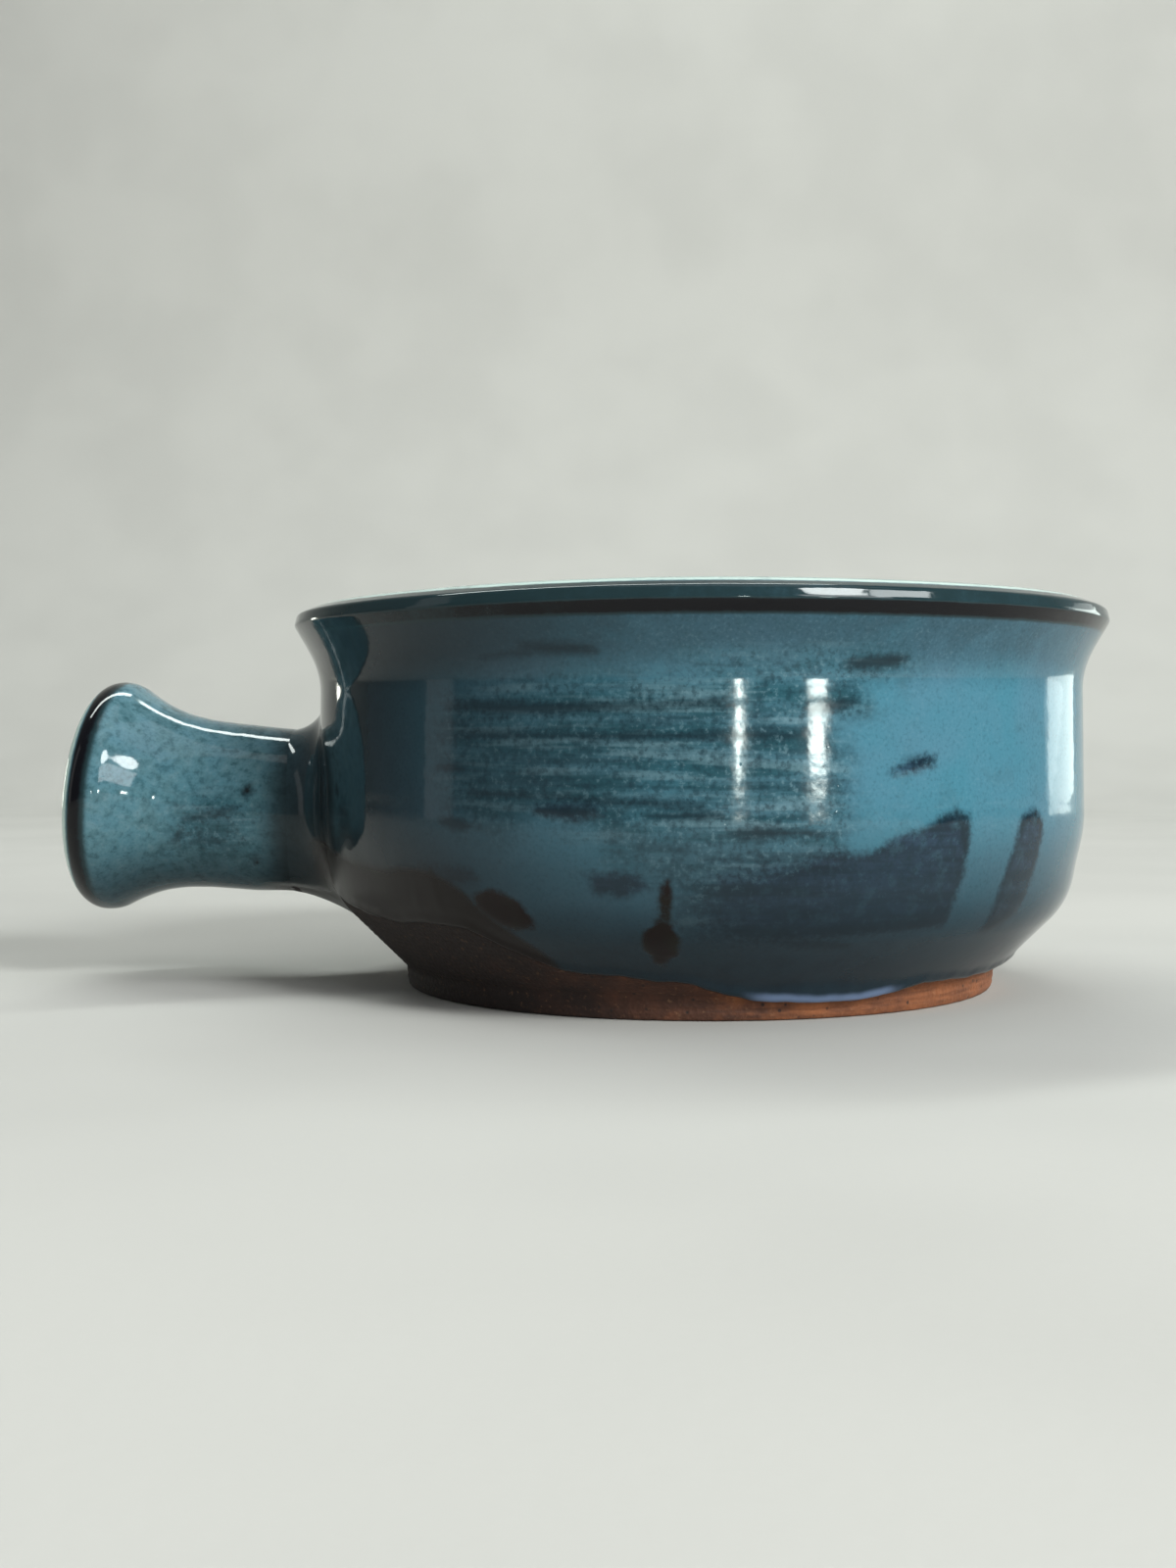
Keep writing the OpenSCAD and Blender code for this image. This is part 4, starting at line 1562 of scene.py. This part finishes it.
    def dish(self, name: str, grid: Array, back: Array, pale: Array) -> bpy.types.Object:
        """Closes two grids at the lip with faces and at the floor with two fans.

        Args:
            name: the piece's name.
            grid: the upper grid, from the lip to the floor.
            back: the grid under it.
            pale: how pale each point of the upper grid is.

        Returns:
            The piece.
        """
        rows, cols = grid.shape[:2]
        base = rows * cols
        points = np.concatenate([grid.reshape(-1, 3), back.reshape(-1, 3),
                                 [grid[-1].mean(axis=0), back[-1].mean(axis=0)]])
        top_pole, low_pole = len(points) - 2, len(points) - 1
        col, nxt = around(cols)
        faces: list[Face] = []
        for first, count, pole in ((0, rows, top_pole), (base, len(back), low_pole)):
            last = first + (count - 1) * cols
            cells = first + quads(count, cols).reshape(-1, 4)[:, OTHER_WAY]
            part = listed(cells, np.stack([last + col, np.full(cols, pole), last + nxt], 1))
            faces += [f[::-1] for f in part] if pole == low_pole else part
        faces += listed(np.stack([nxt, base + nxt, base + col, col], 1))
        value = np.concatenate([pale.ravel(), np.zeros(len(points) - base)])
        return make_piece(name, points, faces, {"pale": value})

    def clay(self) -> bpy.types.Object:
        """Builds the bare bowl: underside, foot, side and inside, with turning marks on the foot.

        Returns:
            The piece.
        """
        t = self.form.glaze_t
        outside, inside, under = self.form.outside(), self.form.inside(), self.form.underside()
        side = np.linspace(self.form.drip_hang, outside.run[-1], 180)
        inner = np.linspace(0.0, inside.run[-1] - 0.5, 90)
        path = Path(np.concatenate([under.points, outside.moved(side, -t),
                                    inside.moved(inner, -t)[1:], [inside.points[-1] - pt(0, t)]]))
        foot, length = under.run[-1], path.run[-1]
        s = spaced([(self.form.foot_base_d / 2 - 9, 40), (foot + 1, 40), (foot + 22, 70),
                    (foot + 66, 20), (foot + 76, 20), (length, 40)], 0.0)
        turn = np.arange(self.clay_cols) * 2 * math.pi / self.clay_cols
        body = s[1:-1, None]
        r, z = np.moveaxis(path.at(body), -1, 0)
        cut = self.tool_depth * np.sin(2 * math.pi * body / self.tool_pitch + turn)
        chatter = self.chatter_depth * np.sin(70 * turn + 3 * body)
        worked = fall(z, 14, 18) * smooth(r, 0, 6) * (body < foot + 40)
        return closed_turning("clay_bowl", path, s, (cut + chatter - self.turned_in) * worked)


@dataclass
class TrumpetHandle:
    """The luted handle's coats: over the root, over the tube and inside its mouth."""

    bowl: ThrownBowl
    cols: int = 300
    stride: int = 4
    root_steps: int = 32
    walks: int = 8
    clear: float = 0.02
    under_clear: float = 0.03
    overlap: float = 2.0
    sink: float = 0.07
    sink_rows: int = 6
    bare_at: Span = (-1.5, 0.5)
    thin_at: Span = (-2.0, 1.2)
    lead: float = 4.0
    even_len: float = 8.0
    even_steps: int = 12
    wheel_pitch: float = 4.6
    wheel_depth: float = 0.007
    uneven: float = 0.10
    near_len: Span = (5, 12)
    calm_len: Span = (8, 16)
    root_len: Span = (3, 11.5)
    # Painted shade towards the root and underneath, and on the mouth's underside
    root_shade: float = 0.86
    under_shade: float = 0.6
    shade_share: float = 0.35
    shade_len: Span = (24, 33)
    lower_share: Span = (-0.2, 0.9)
    under_share: Span = (0.25, 1.0)
    mouth_dark: float = 0.95
    rim_dark: float = 0.45
    rim_out: Span = (0.8, 1.8)
    mouth_in: Span = (4.0, 5.0)
    mouth_out: Span = (6.0, 9.0)
    crest_in: Span = (0.8, 1.9)
    # The mouth's pale edge, a glaze break with a painted highlight
    crest_out: Span = (3.4, 4.6)
    fade_len: float = 2.0
    # Painted shade down the bore
    bore_shade: float = 0.3
    bore_in: Span = (9, 20)
    funnel_in: Span = (0.8, 2.2)
    funnel_out: Span = (3.2, 7.0)
    funnel_rim: Span = (1.0, 3.0)

    @property
    def form(self) -> HandleForm:
        """Sizes of the handle."""
        return self.bowl.handle

    def turns(self) -> Array:
        """Returns the angle of each column from the handle's top, in radians."""
        return np.arange(self.cols) * 2 * math.pi / self.cols

    def placed(self, line: Array) -> Array:
        """Places [radius, length along the axis] points by their columns."""
        return self.form.placed(line[..., 0], self.turns(), line[..., 1])

    def neck_start(self, lift: float) -> Array:
        """Works out where the root's glaze ends on the neck: on an upright ring round the bowl.

        Args:
            lift: how far outside the neck the end lies.

        Returns:
            The length along the axis, by column.
        """
        ring = self.bowl.form.belly_d / 2 + self.form.coil_reach
        r = self.form.neck_d / 2 + lift
        y = r * np.sin(self.turns())
        return self.form.length_at_x(-np.sqrt(ring * ring - y * y), self.turns(), r)

    def tube_lengths(self, length: float) -> Array:
        """Lays the tube coat's rows, which follow the root's edge first and the mouth's last.

        Args:
            length: the outline's whole length.

        Returns:
            The length of each point of the grid.
        """
        begin = self.neck_start(0.0) - self.overlap + self.lead
        end = self.even_len + self.lead
        near = begin + (end - begin) * np.linspace(0, 1, self.even_steps)[:, None]
        rest = spaced([(16.0, 12), (40.0, 44), (length, 40)], self.even_len)[1:, None]
        rest = rest + self.lead * fall(rest, self.even_len, 40)
        rest = np.broadcast_to(rest, (len(rest), self.cols))
        return whole_strides(np.concatenate([near, rest]), self.stride, length)

    def tube_coat(self) -> bpy.types.Object:
        """Builds the tube's outside glaze: the outline with a slow unevenness from thumb and wheel.

        The relief is two sines along the tube and round it, and fades at both ends. Below the
        bowl's glaze line the coat thins out towards the root.

        Returns:
            The piece.
        """
        path = self.form.outside(-self.lead)
        length, turn = path.run[-1], self.turns()
        s = self.tube_lengths(length)
        line, to_end = path.at(s), length - s
        skin, along = self.placed(line), line[..., 1]
        near, root = fall(along, *self.near_len), self.root_share(along)
        wind = 2 * math.pi * along / self.wheel_pitch + turn
        relief = self.wheel_depth * np.sin(wind) + self.uneven * np.sin(2 * turn + along / 9)
        relief = relief * (smooth(along, *self.calm_len) * fall(s, length - 9, length - 3))
        lift = relief - THINNED * self.form.glaze_t * near * self.below_line(skin, *self.bare_at)
        outer = self.placed(path.moved(s, lift))
        inner = self.placed(path.moved(s[::self.stride], -self.form.glaze_t))
        lower = smooth(-np.cos(turn), *self.lower_share)
        values = self.look(along) | {
            # Painted shade: the mouth's underside, towards the root and underneath, browner at the
            # root
            "shade": self.shade_share * smooth(along, *self.shade_len) * lower,
            "tone": self.tone(root, turn),
            "brown_shade": root,
            "dusk": self.mouth_dusk(to_end),
            "browned": near * self.below_line(skin, *self.thin_at),
            # Pale glaze break round the mouth's edge, widened as a painted highlight
            "pale": smooth(to_end, *self.crest_in) * fall(to_end, *self.crest_out)}
        return Coat(outer, inner, self.stride, values).build("handle_glaze_coat")

    def below_line(self, points: Array, low: float, high: float) -> Array:
        """Returns 1 for points that lie below the glaze line by low, and 0 above it by high."""
        return fall(points[..., 2] - self.bowl.line.height(bearing_of(points)), low, high)

    def root_share(self, along: Array) -> Array:
        """Returns 1 where the tube meets the bowl and 0 out along it."""
        return fall(along, *self.root_len)

    def tone(self, root: Array, turn: Array) -> Array:
        """Returns the painted shade on the glaze towards the root and underneath."""
        under = smooth(-np.cos(turn), *self.under_share)
        return 1 - (1 - self.root_shade * root) * (1 - self.under_shade * under)

    def mouth_dusk(self, to_end: Array) -> Array:
        """Returns how dark the mouth is: an iron band just outside its pale edge."""
        band = smooth(to_end, *self.mouth_in) * fall(to_end, *self.mouth_out) * self.mouth_dark
        return np.maximum(band, self.rim_dark * fall(to_end, *self.rim_out))

    def look(self, along: Array) -> dict[str, Array | float]:
        """Works out the plain values of the handle's glaze, whose marks count from its top.

        Args:
            along: length along the axis of each point.

        Returns:
            The marks' depths and a full mottle, with 0 for all the other values.
        """
        marks = mark_depths(HANDLE_MARKS, -np.degrees(self.turns()), along, self.form.neck_d / 2)
        zeros = dict.fromkeys(("shade", "tone", "brown_shade", "dusk", "browned", "roll", "pale"), 0.0)
        return marks | zeros | {"mottle": 1.0}

    def socket_coat(self) -> bpy.types.Object:
        """Builds the glaze inside the mouth, which thins out to nothing down the bore.

        Returns:
            The piece.
        """
        path, t = self.form.inside(), self.form.glaze_t
        length = path.run[-1]
        s = spaced([(5.0, 20), (length - 3, 28), (length, 12)], 0.0)[:, None]
        left = np.sqrt(np.clip((length - s) / self.fade_len, 0, 1))
        outer = self.placed(path.moved(s, -t * (1 - left) * EDGE_SHARE))
        inner = self.placed(path.moved(s[::self.stride], -t))
        band = self.mouth_dark * smooth(s, *self.funnel_in) * fall(s, *self.funnel_out)
        # Painted shade deeper down the bore
        band = band + self.bore_shade * smooth(s, *self.bore_in)
        values = self.look(np.array(FAR_OUT)) | {
            "dusk": np.maximum(band, self.rim_dark * fall(s, *self.funnel_rim)),
            "browned": smooth(s, length - 4, length)}
        return Coat(outer, inner, self.stride, values).build("socket_glaze_coat")

    def root_lines(self, lift: float) -> Array:
        """Draws the section of the root's glaze along each line of the neck.

        Each is a cubic curve from the neck to the bowl's side that leaves each along its surface,
        pulled towards the corner where the two would meet. The corner is found by walking along
        the neck until it lies on the side.

        Args:
            lift: how far the curves stand off the neck and the side.

        Returns:
            Points as [steps + 1, columns, 3].
        """
        form, turn, path = self.form, self.turns(), self.bowl.form.outside()
        skin = Path(path.points + path.normal(path.run) * lift)

        def on_side(y: Array, z: Array) -> Array:
            """Returns the point of the bowl's side at a place across and a height."""
            r = np.interp(z, skin.heights, skin.points[:, 0])
            return np.stack([-np.sqrt(r ** 2 - y * y), y, z], -1)

        r = form.neck_d / 2 + lift
        neck = form.placed(r, turn, self.neck_start(lift))
        s = np.zeros(turn.shape)
        for _ in range(self.walks):
            p = form.placed(r, turn, s)
            corner = on_side(p[:, 1], p[:, 2])
            s = form.length_at_x(corner[:, 0], turn, r)
        foot = on_side(form.coil_r * np.sin(turn), form.axis_z + form.coil_r * np.cos(turn))
        out = skin.normal(skin.length_at_height(foot[:, 2]))
        outwards = np.concatenate([unit(foot[:, :2]) * out[:, :1], out[:, 1:]], 1)
        pull = corner - foot
        pull = pull - (pull * outwards).sum(axis=1, keepdims=True) * outwards
        share = form.coil_share
        return bezier(neck, neck + share * (corner - neck), foot + share * pull, foot,
                      self.root_steps)

    def root_coat(self) -> bpy.types.Object:
        """Builds the glaze over the root's coil, which is nearly gone below the glaze line.

        Its edge on the neck dips under the tube's glaze, and its look passes from the handle's
        to the bowl's on the way down.

        Returns:
            The piece.
        """
        bowl, turn = self.bowl, self.turns()
        skin = self.root_lines(self.clear)
        under = self.root_lines(self.under_clear - self.form.glaze_t)
        z, bearing = skin[..., 2], bearing_of(skin)
        down = np.linspace(0, 1, len(z))[:, None]
        bare = THINNED * self.below_line(skin, *self.bare_at)
        radial = self.form.placed(1.0, turn, 0.0) - self.form.placed(0.0, turn, 0.0)
        sunk = self.sink * fall(np.arange(len(z)), 0, self.sink_rows)
        outer = skin + (under - skin) * bare[..., None] - sunk[:, None, None] * radial
        # Painted shade: the brown band, the dark and brown shade pass from the handle's to the
        # bowl's down the root
        over = bowl.brown_band(z - bowl.line.height(bearing), bearing) * smooth(down, 0.2, 0.9)
        neck_root = self.root_share(self.neck_start(0.0))
        values = mark_depths(BOWL_MARKS, bearing, z, bowl.form.belly_d / 2) | {
            "shade": 0.0, "dusk": 0.0, "roll": 0.0, "pale": 0.0,
            "browned": np.maximum(self.below_line(skin, *self.thin_at), over),
            "mottle": 1 - down,
            "brown_shade": down * bowl.brown_shade(bearing) + (1 - down) * neck_root,
            "tone": down * bowl.tone(z, bearing) + (1 - down) * self.tone(neck_root, turn)}
        return Coat(outer, under[::self.stride], self.stride, values).build("root_glaze_coat")


@dataclass(frozen=True)
class Lamp:
    """A soft lamp or a far window."""

    name: str
    at: Triple
    size: Span
    watts: float
    tint: Triple = (1.0, 1.0, 1.0)
    aim: Triple = (0.0, 0.0, 0.035)
    round: bool = False


@dataclass
class Studio:
    """The camera, the paper sweep and the lamps. Lengths are in metres."""

    focal_px: float = 1900.0
    image_px: tuple[int, int] = (1200, 1600)
    distance: float = 0.32902
    eye_height: float = 0.04206
    pitch: float = 0.0230
    yaw: float = 0.0586
    roll: float = 0.0028
    object_turn: float = math.radians(1.5)
    # The paper's front edge, the place where it begins to turn up, its bend, height and half width
    paper: tuple[float, ...] = (-4.4, 0.75, 0.45, 3.0, 3.0)
    room_tint: Colour = (0.93, 0.97, 1.0, 1.0)
    room_strength: float = 0.17
    lamps: tuple[Lamp, ...] = (
        Lamp("round_window", (0.93, -1.08, 0.98), (0.50, 0.40), 17.0, (0.95, 1.0, 0.99),
             round=True),
        Lamp("side_window", (1.24, -0.735, 0.80), (0.44, 0.26), 6.5, (0.95, 1.0, 0.99)),
        Lamp("low_softbox", (0.95, -1.10, 0.50), (0.62, 0.44), 7.0),
        Lamp("left_panel", (-1.10, -0.28, 0.30), (0.22, 0.9), 0.35),
        Lamp("left_window", (-0.99, 0.795, 0.09), (0.075, 0.18), 0.6, (0.97, 1.0, 0.88)),
        Lamp("right_window", (0.84, 0.72, 0.07), (0.42, 0.38), 1.6, (0.88, 1.0, 0.94)),
        Lamp("right_glow", (1.16, 1.02, 0.10), (0.70, 0.70), 1.7, (0.92, 1.0, 0.97)),
        Lamp("handle_strip", (-0.40, 0.64, 1.30), (1.6, 0.15), 11.0, (0.92, 1.0, 0.97)),
        Lamp("far_window_near_axis", (1.356, -5.845, 0.24), (0.12, 0.28), 15.0, (0.88, 1.0, 0.95)),
        Lamp("far_window_right", (3.445, -4.913, 0.24), (0.45, 0.28), 31.0, (0.88, 1.0, 0.95)),
        Lamp("top_fill", (0.3, -0.3, 1.5), (1.2, 1.2), 4.1),
    )

    def camera(self) -> None:
        """Sets the camera where the photograph was taken from, by its fitted pose.

        The lens is the focal length over the picture's height, times the sensor's height.
        """
        turn = self.object_turn

        def turned(v: Vector) -> Vector:
            """Turns a direction from the photograph's frame into the bowl's."""
            return Vector((v.x * math.cos(turn) - v.y * math.sin(turn),
                           v.x * math.sin(turn) + v.y * math.cos(turn), v.z))

        level = Vector((-math.sin(self.yaw), math.cos(self.yaw), 0))
        up = Vector((0, 0, 1))
        forward = math.cos(self.pitch) * level - math.sin(self.pitch) * up
        up = math.sin(self.pitch) * level + math.cos(self.pitch) * up
        right = forward.cross(up)
        side = math.cos(self.roll) * right - math.sin(self.roll) * up
        up = math.sin(self.roll) * right + math.cos(self.roll) * up
        pose = Matrix([turned(side), turned(up), -turned(forward)]).transposed().to_4x4()
        pose.translation = turned(Vector((0, -self.distance, self.eye_height)))
        data = bpy.data.cameras.new("camera")
        data.sensor_fit = "VERTICAL"
        data.sensor_height = 24.0
        data.lens = self.focal_px / self.image_px[1] * data.sensor_height
        data.clip_start = 0.01
        camera = bpy.data.objects.new("camera", data)
        camera.matrix_world = pose
        bpy.context.scene.collection.objects.link(camera)
        bpy.context.scene.camera = camera

    def sweep(self) -> None:
        """Builds the paper: a floor that turns up in a quarter round behind and into a wall."""
        front, start, bend, top, half = self.paper
        turn = np.linspace(0, math.pi / 2, 25)
        y = np.concatenate([[front], start + bend * np.sin(turn), [start + bend]])
        z = np.concatenate([[0.0], bend * (1 - np.cos(turn)), [top]])
        x = np.linspace(-half, half, 9)
        points = np.stack(np.broadcast_arrays(x, y[:, None], z[:, None]), -1)
        faces = quads(len(y), len(x), closed=False).reshape(-1, 4)
        mesh = bpy.data.meshes.new("paper_sweep")
        mesh.from_pydata(points.reshape(-1, 3).tolist(), [], faces.tolist())
        mesh.polygons.foreach_set("use_smooth", np.ones(len(faces), bool))
        mesh.update()
        paper = bpy.data.objects.new("paper_sweep", mesh)
        paper.data.materials.append(StudioPaper().material())
        bpy.context.scene.collection.objects.link(paper)

    def light(self) -> None:
        """Sets the lamps, each turned to its aim, and a dim even world."""
        for lamp in self.lamps:
            data = bpy.data.lights.new(lamp.name, "AREA")
            data.shape = "ELLIPSE" if lamp.round else "RECTANGLE"
            data.size, data.size_y = lamp.size
            data.energy = lamp.watts
            data.color = lamp.tint
            item = bpy.data.objects.new(lamp.name, data)
            item.location = lamp.at
            gaze = Vector(lamp.aim) - Vector(lamp.at)
            item.rotation_euler = gaze.to_track_quat("-Z", "Y").to_euler()
            item.visible_camera = False
            bpy.context.scene.collection.objects.link(item)
        world = bpy.data.worlds.new("even_room")
        world.use_nodes = True
        back = world.node_tree.nodes["Background"]
        back.inputs["Color"].default_value = self.room_tint
        back.inputs["Strength"].default_value = self.room_strength
        bpy.context.scene.world = world

    def build(self) -> None:
        """Sets up the whole studio."""
        bpy.context.scene.view_settings.view_transform = "Standard"
        self.camera()
        self.sweep()
        self.light()


def dress(piece: bpy.types.Object, material: bpy.types.Material) -> None:
    """Gives a piece or a carried-over node one material."""
    piece.data.materials.clear()
    piece.data.materials.append(material)


def stand_in(piece: bpy.types.Object, node: str, slot: str, material: bpy.types.Material) -> None:
    """Puts a piece in a node's place.

    Args:
        piece: the new piece.
        node: the node that it replaces.
        slot: the record's material slot; not used.
        material: its finish.
    """
    dress(piece, material)
    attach(piece, "root")
    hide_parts(node)
    log.info("%s stands for %s: %d faces", piece.name, node, len(piece.data.polygons))


def main() -> None:
    """Builds the studio, the bowl and the handle."""
    logging.basicConfig(level=logging.INFO, format="%(message)s")
    Studio().build()
    outside, liner = OutsideGlaze().material(), LinerGlaze().material()
    clay = FiredClay().material()
    slip = FiredClay(name="slip", dark=colour(96, 62, 42), warm=colour(150, 100, 66)).material()
    bowl = ThrownBowl()
    handle = TrumpetHandle(bowl)
    for build, node, slot, material in (
            (bowl.clay, "bowl_body", "stoneware", clay),
            (bowl.outside_coat, "bowl_glaze", "outside_glaze", outside),
            (bowl.inside_coat, "liner_glaze", "liner_glaze", liner),
            (handle.root_coat, "root_glaze", "outside_glaze", outside),
            (handle.tube_coat, "handle_glaze", "outside_glaze", outside),
            (handle.socket_coat, "socket_glaze", "outside_glaze", outside)):
        stand_in(build(), node, slot, material)
    for name, material in (("handle_stub", clay), ("root_coil", clay), ("slip_joint", slip)):
        dress(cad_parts[name], material)
        log.info("%s keeps its CAD shape", name)


if __name__ == "__main__":
    main()
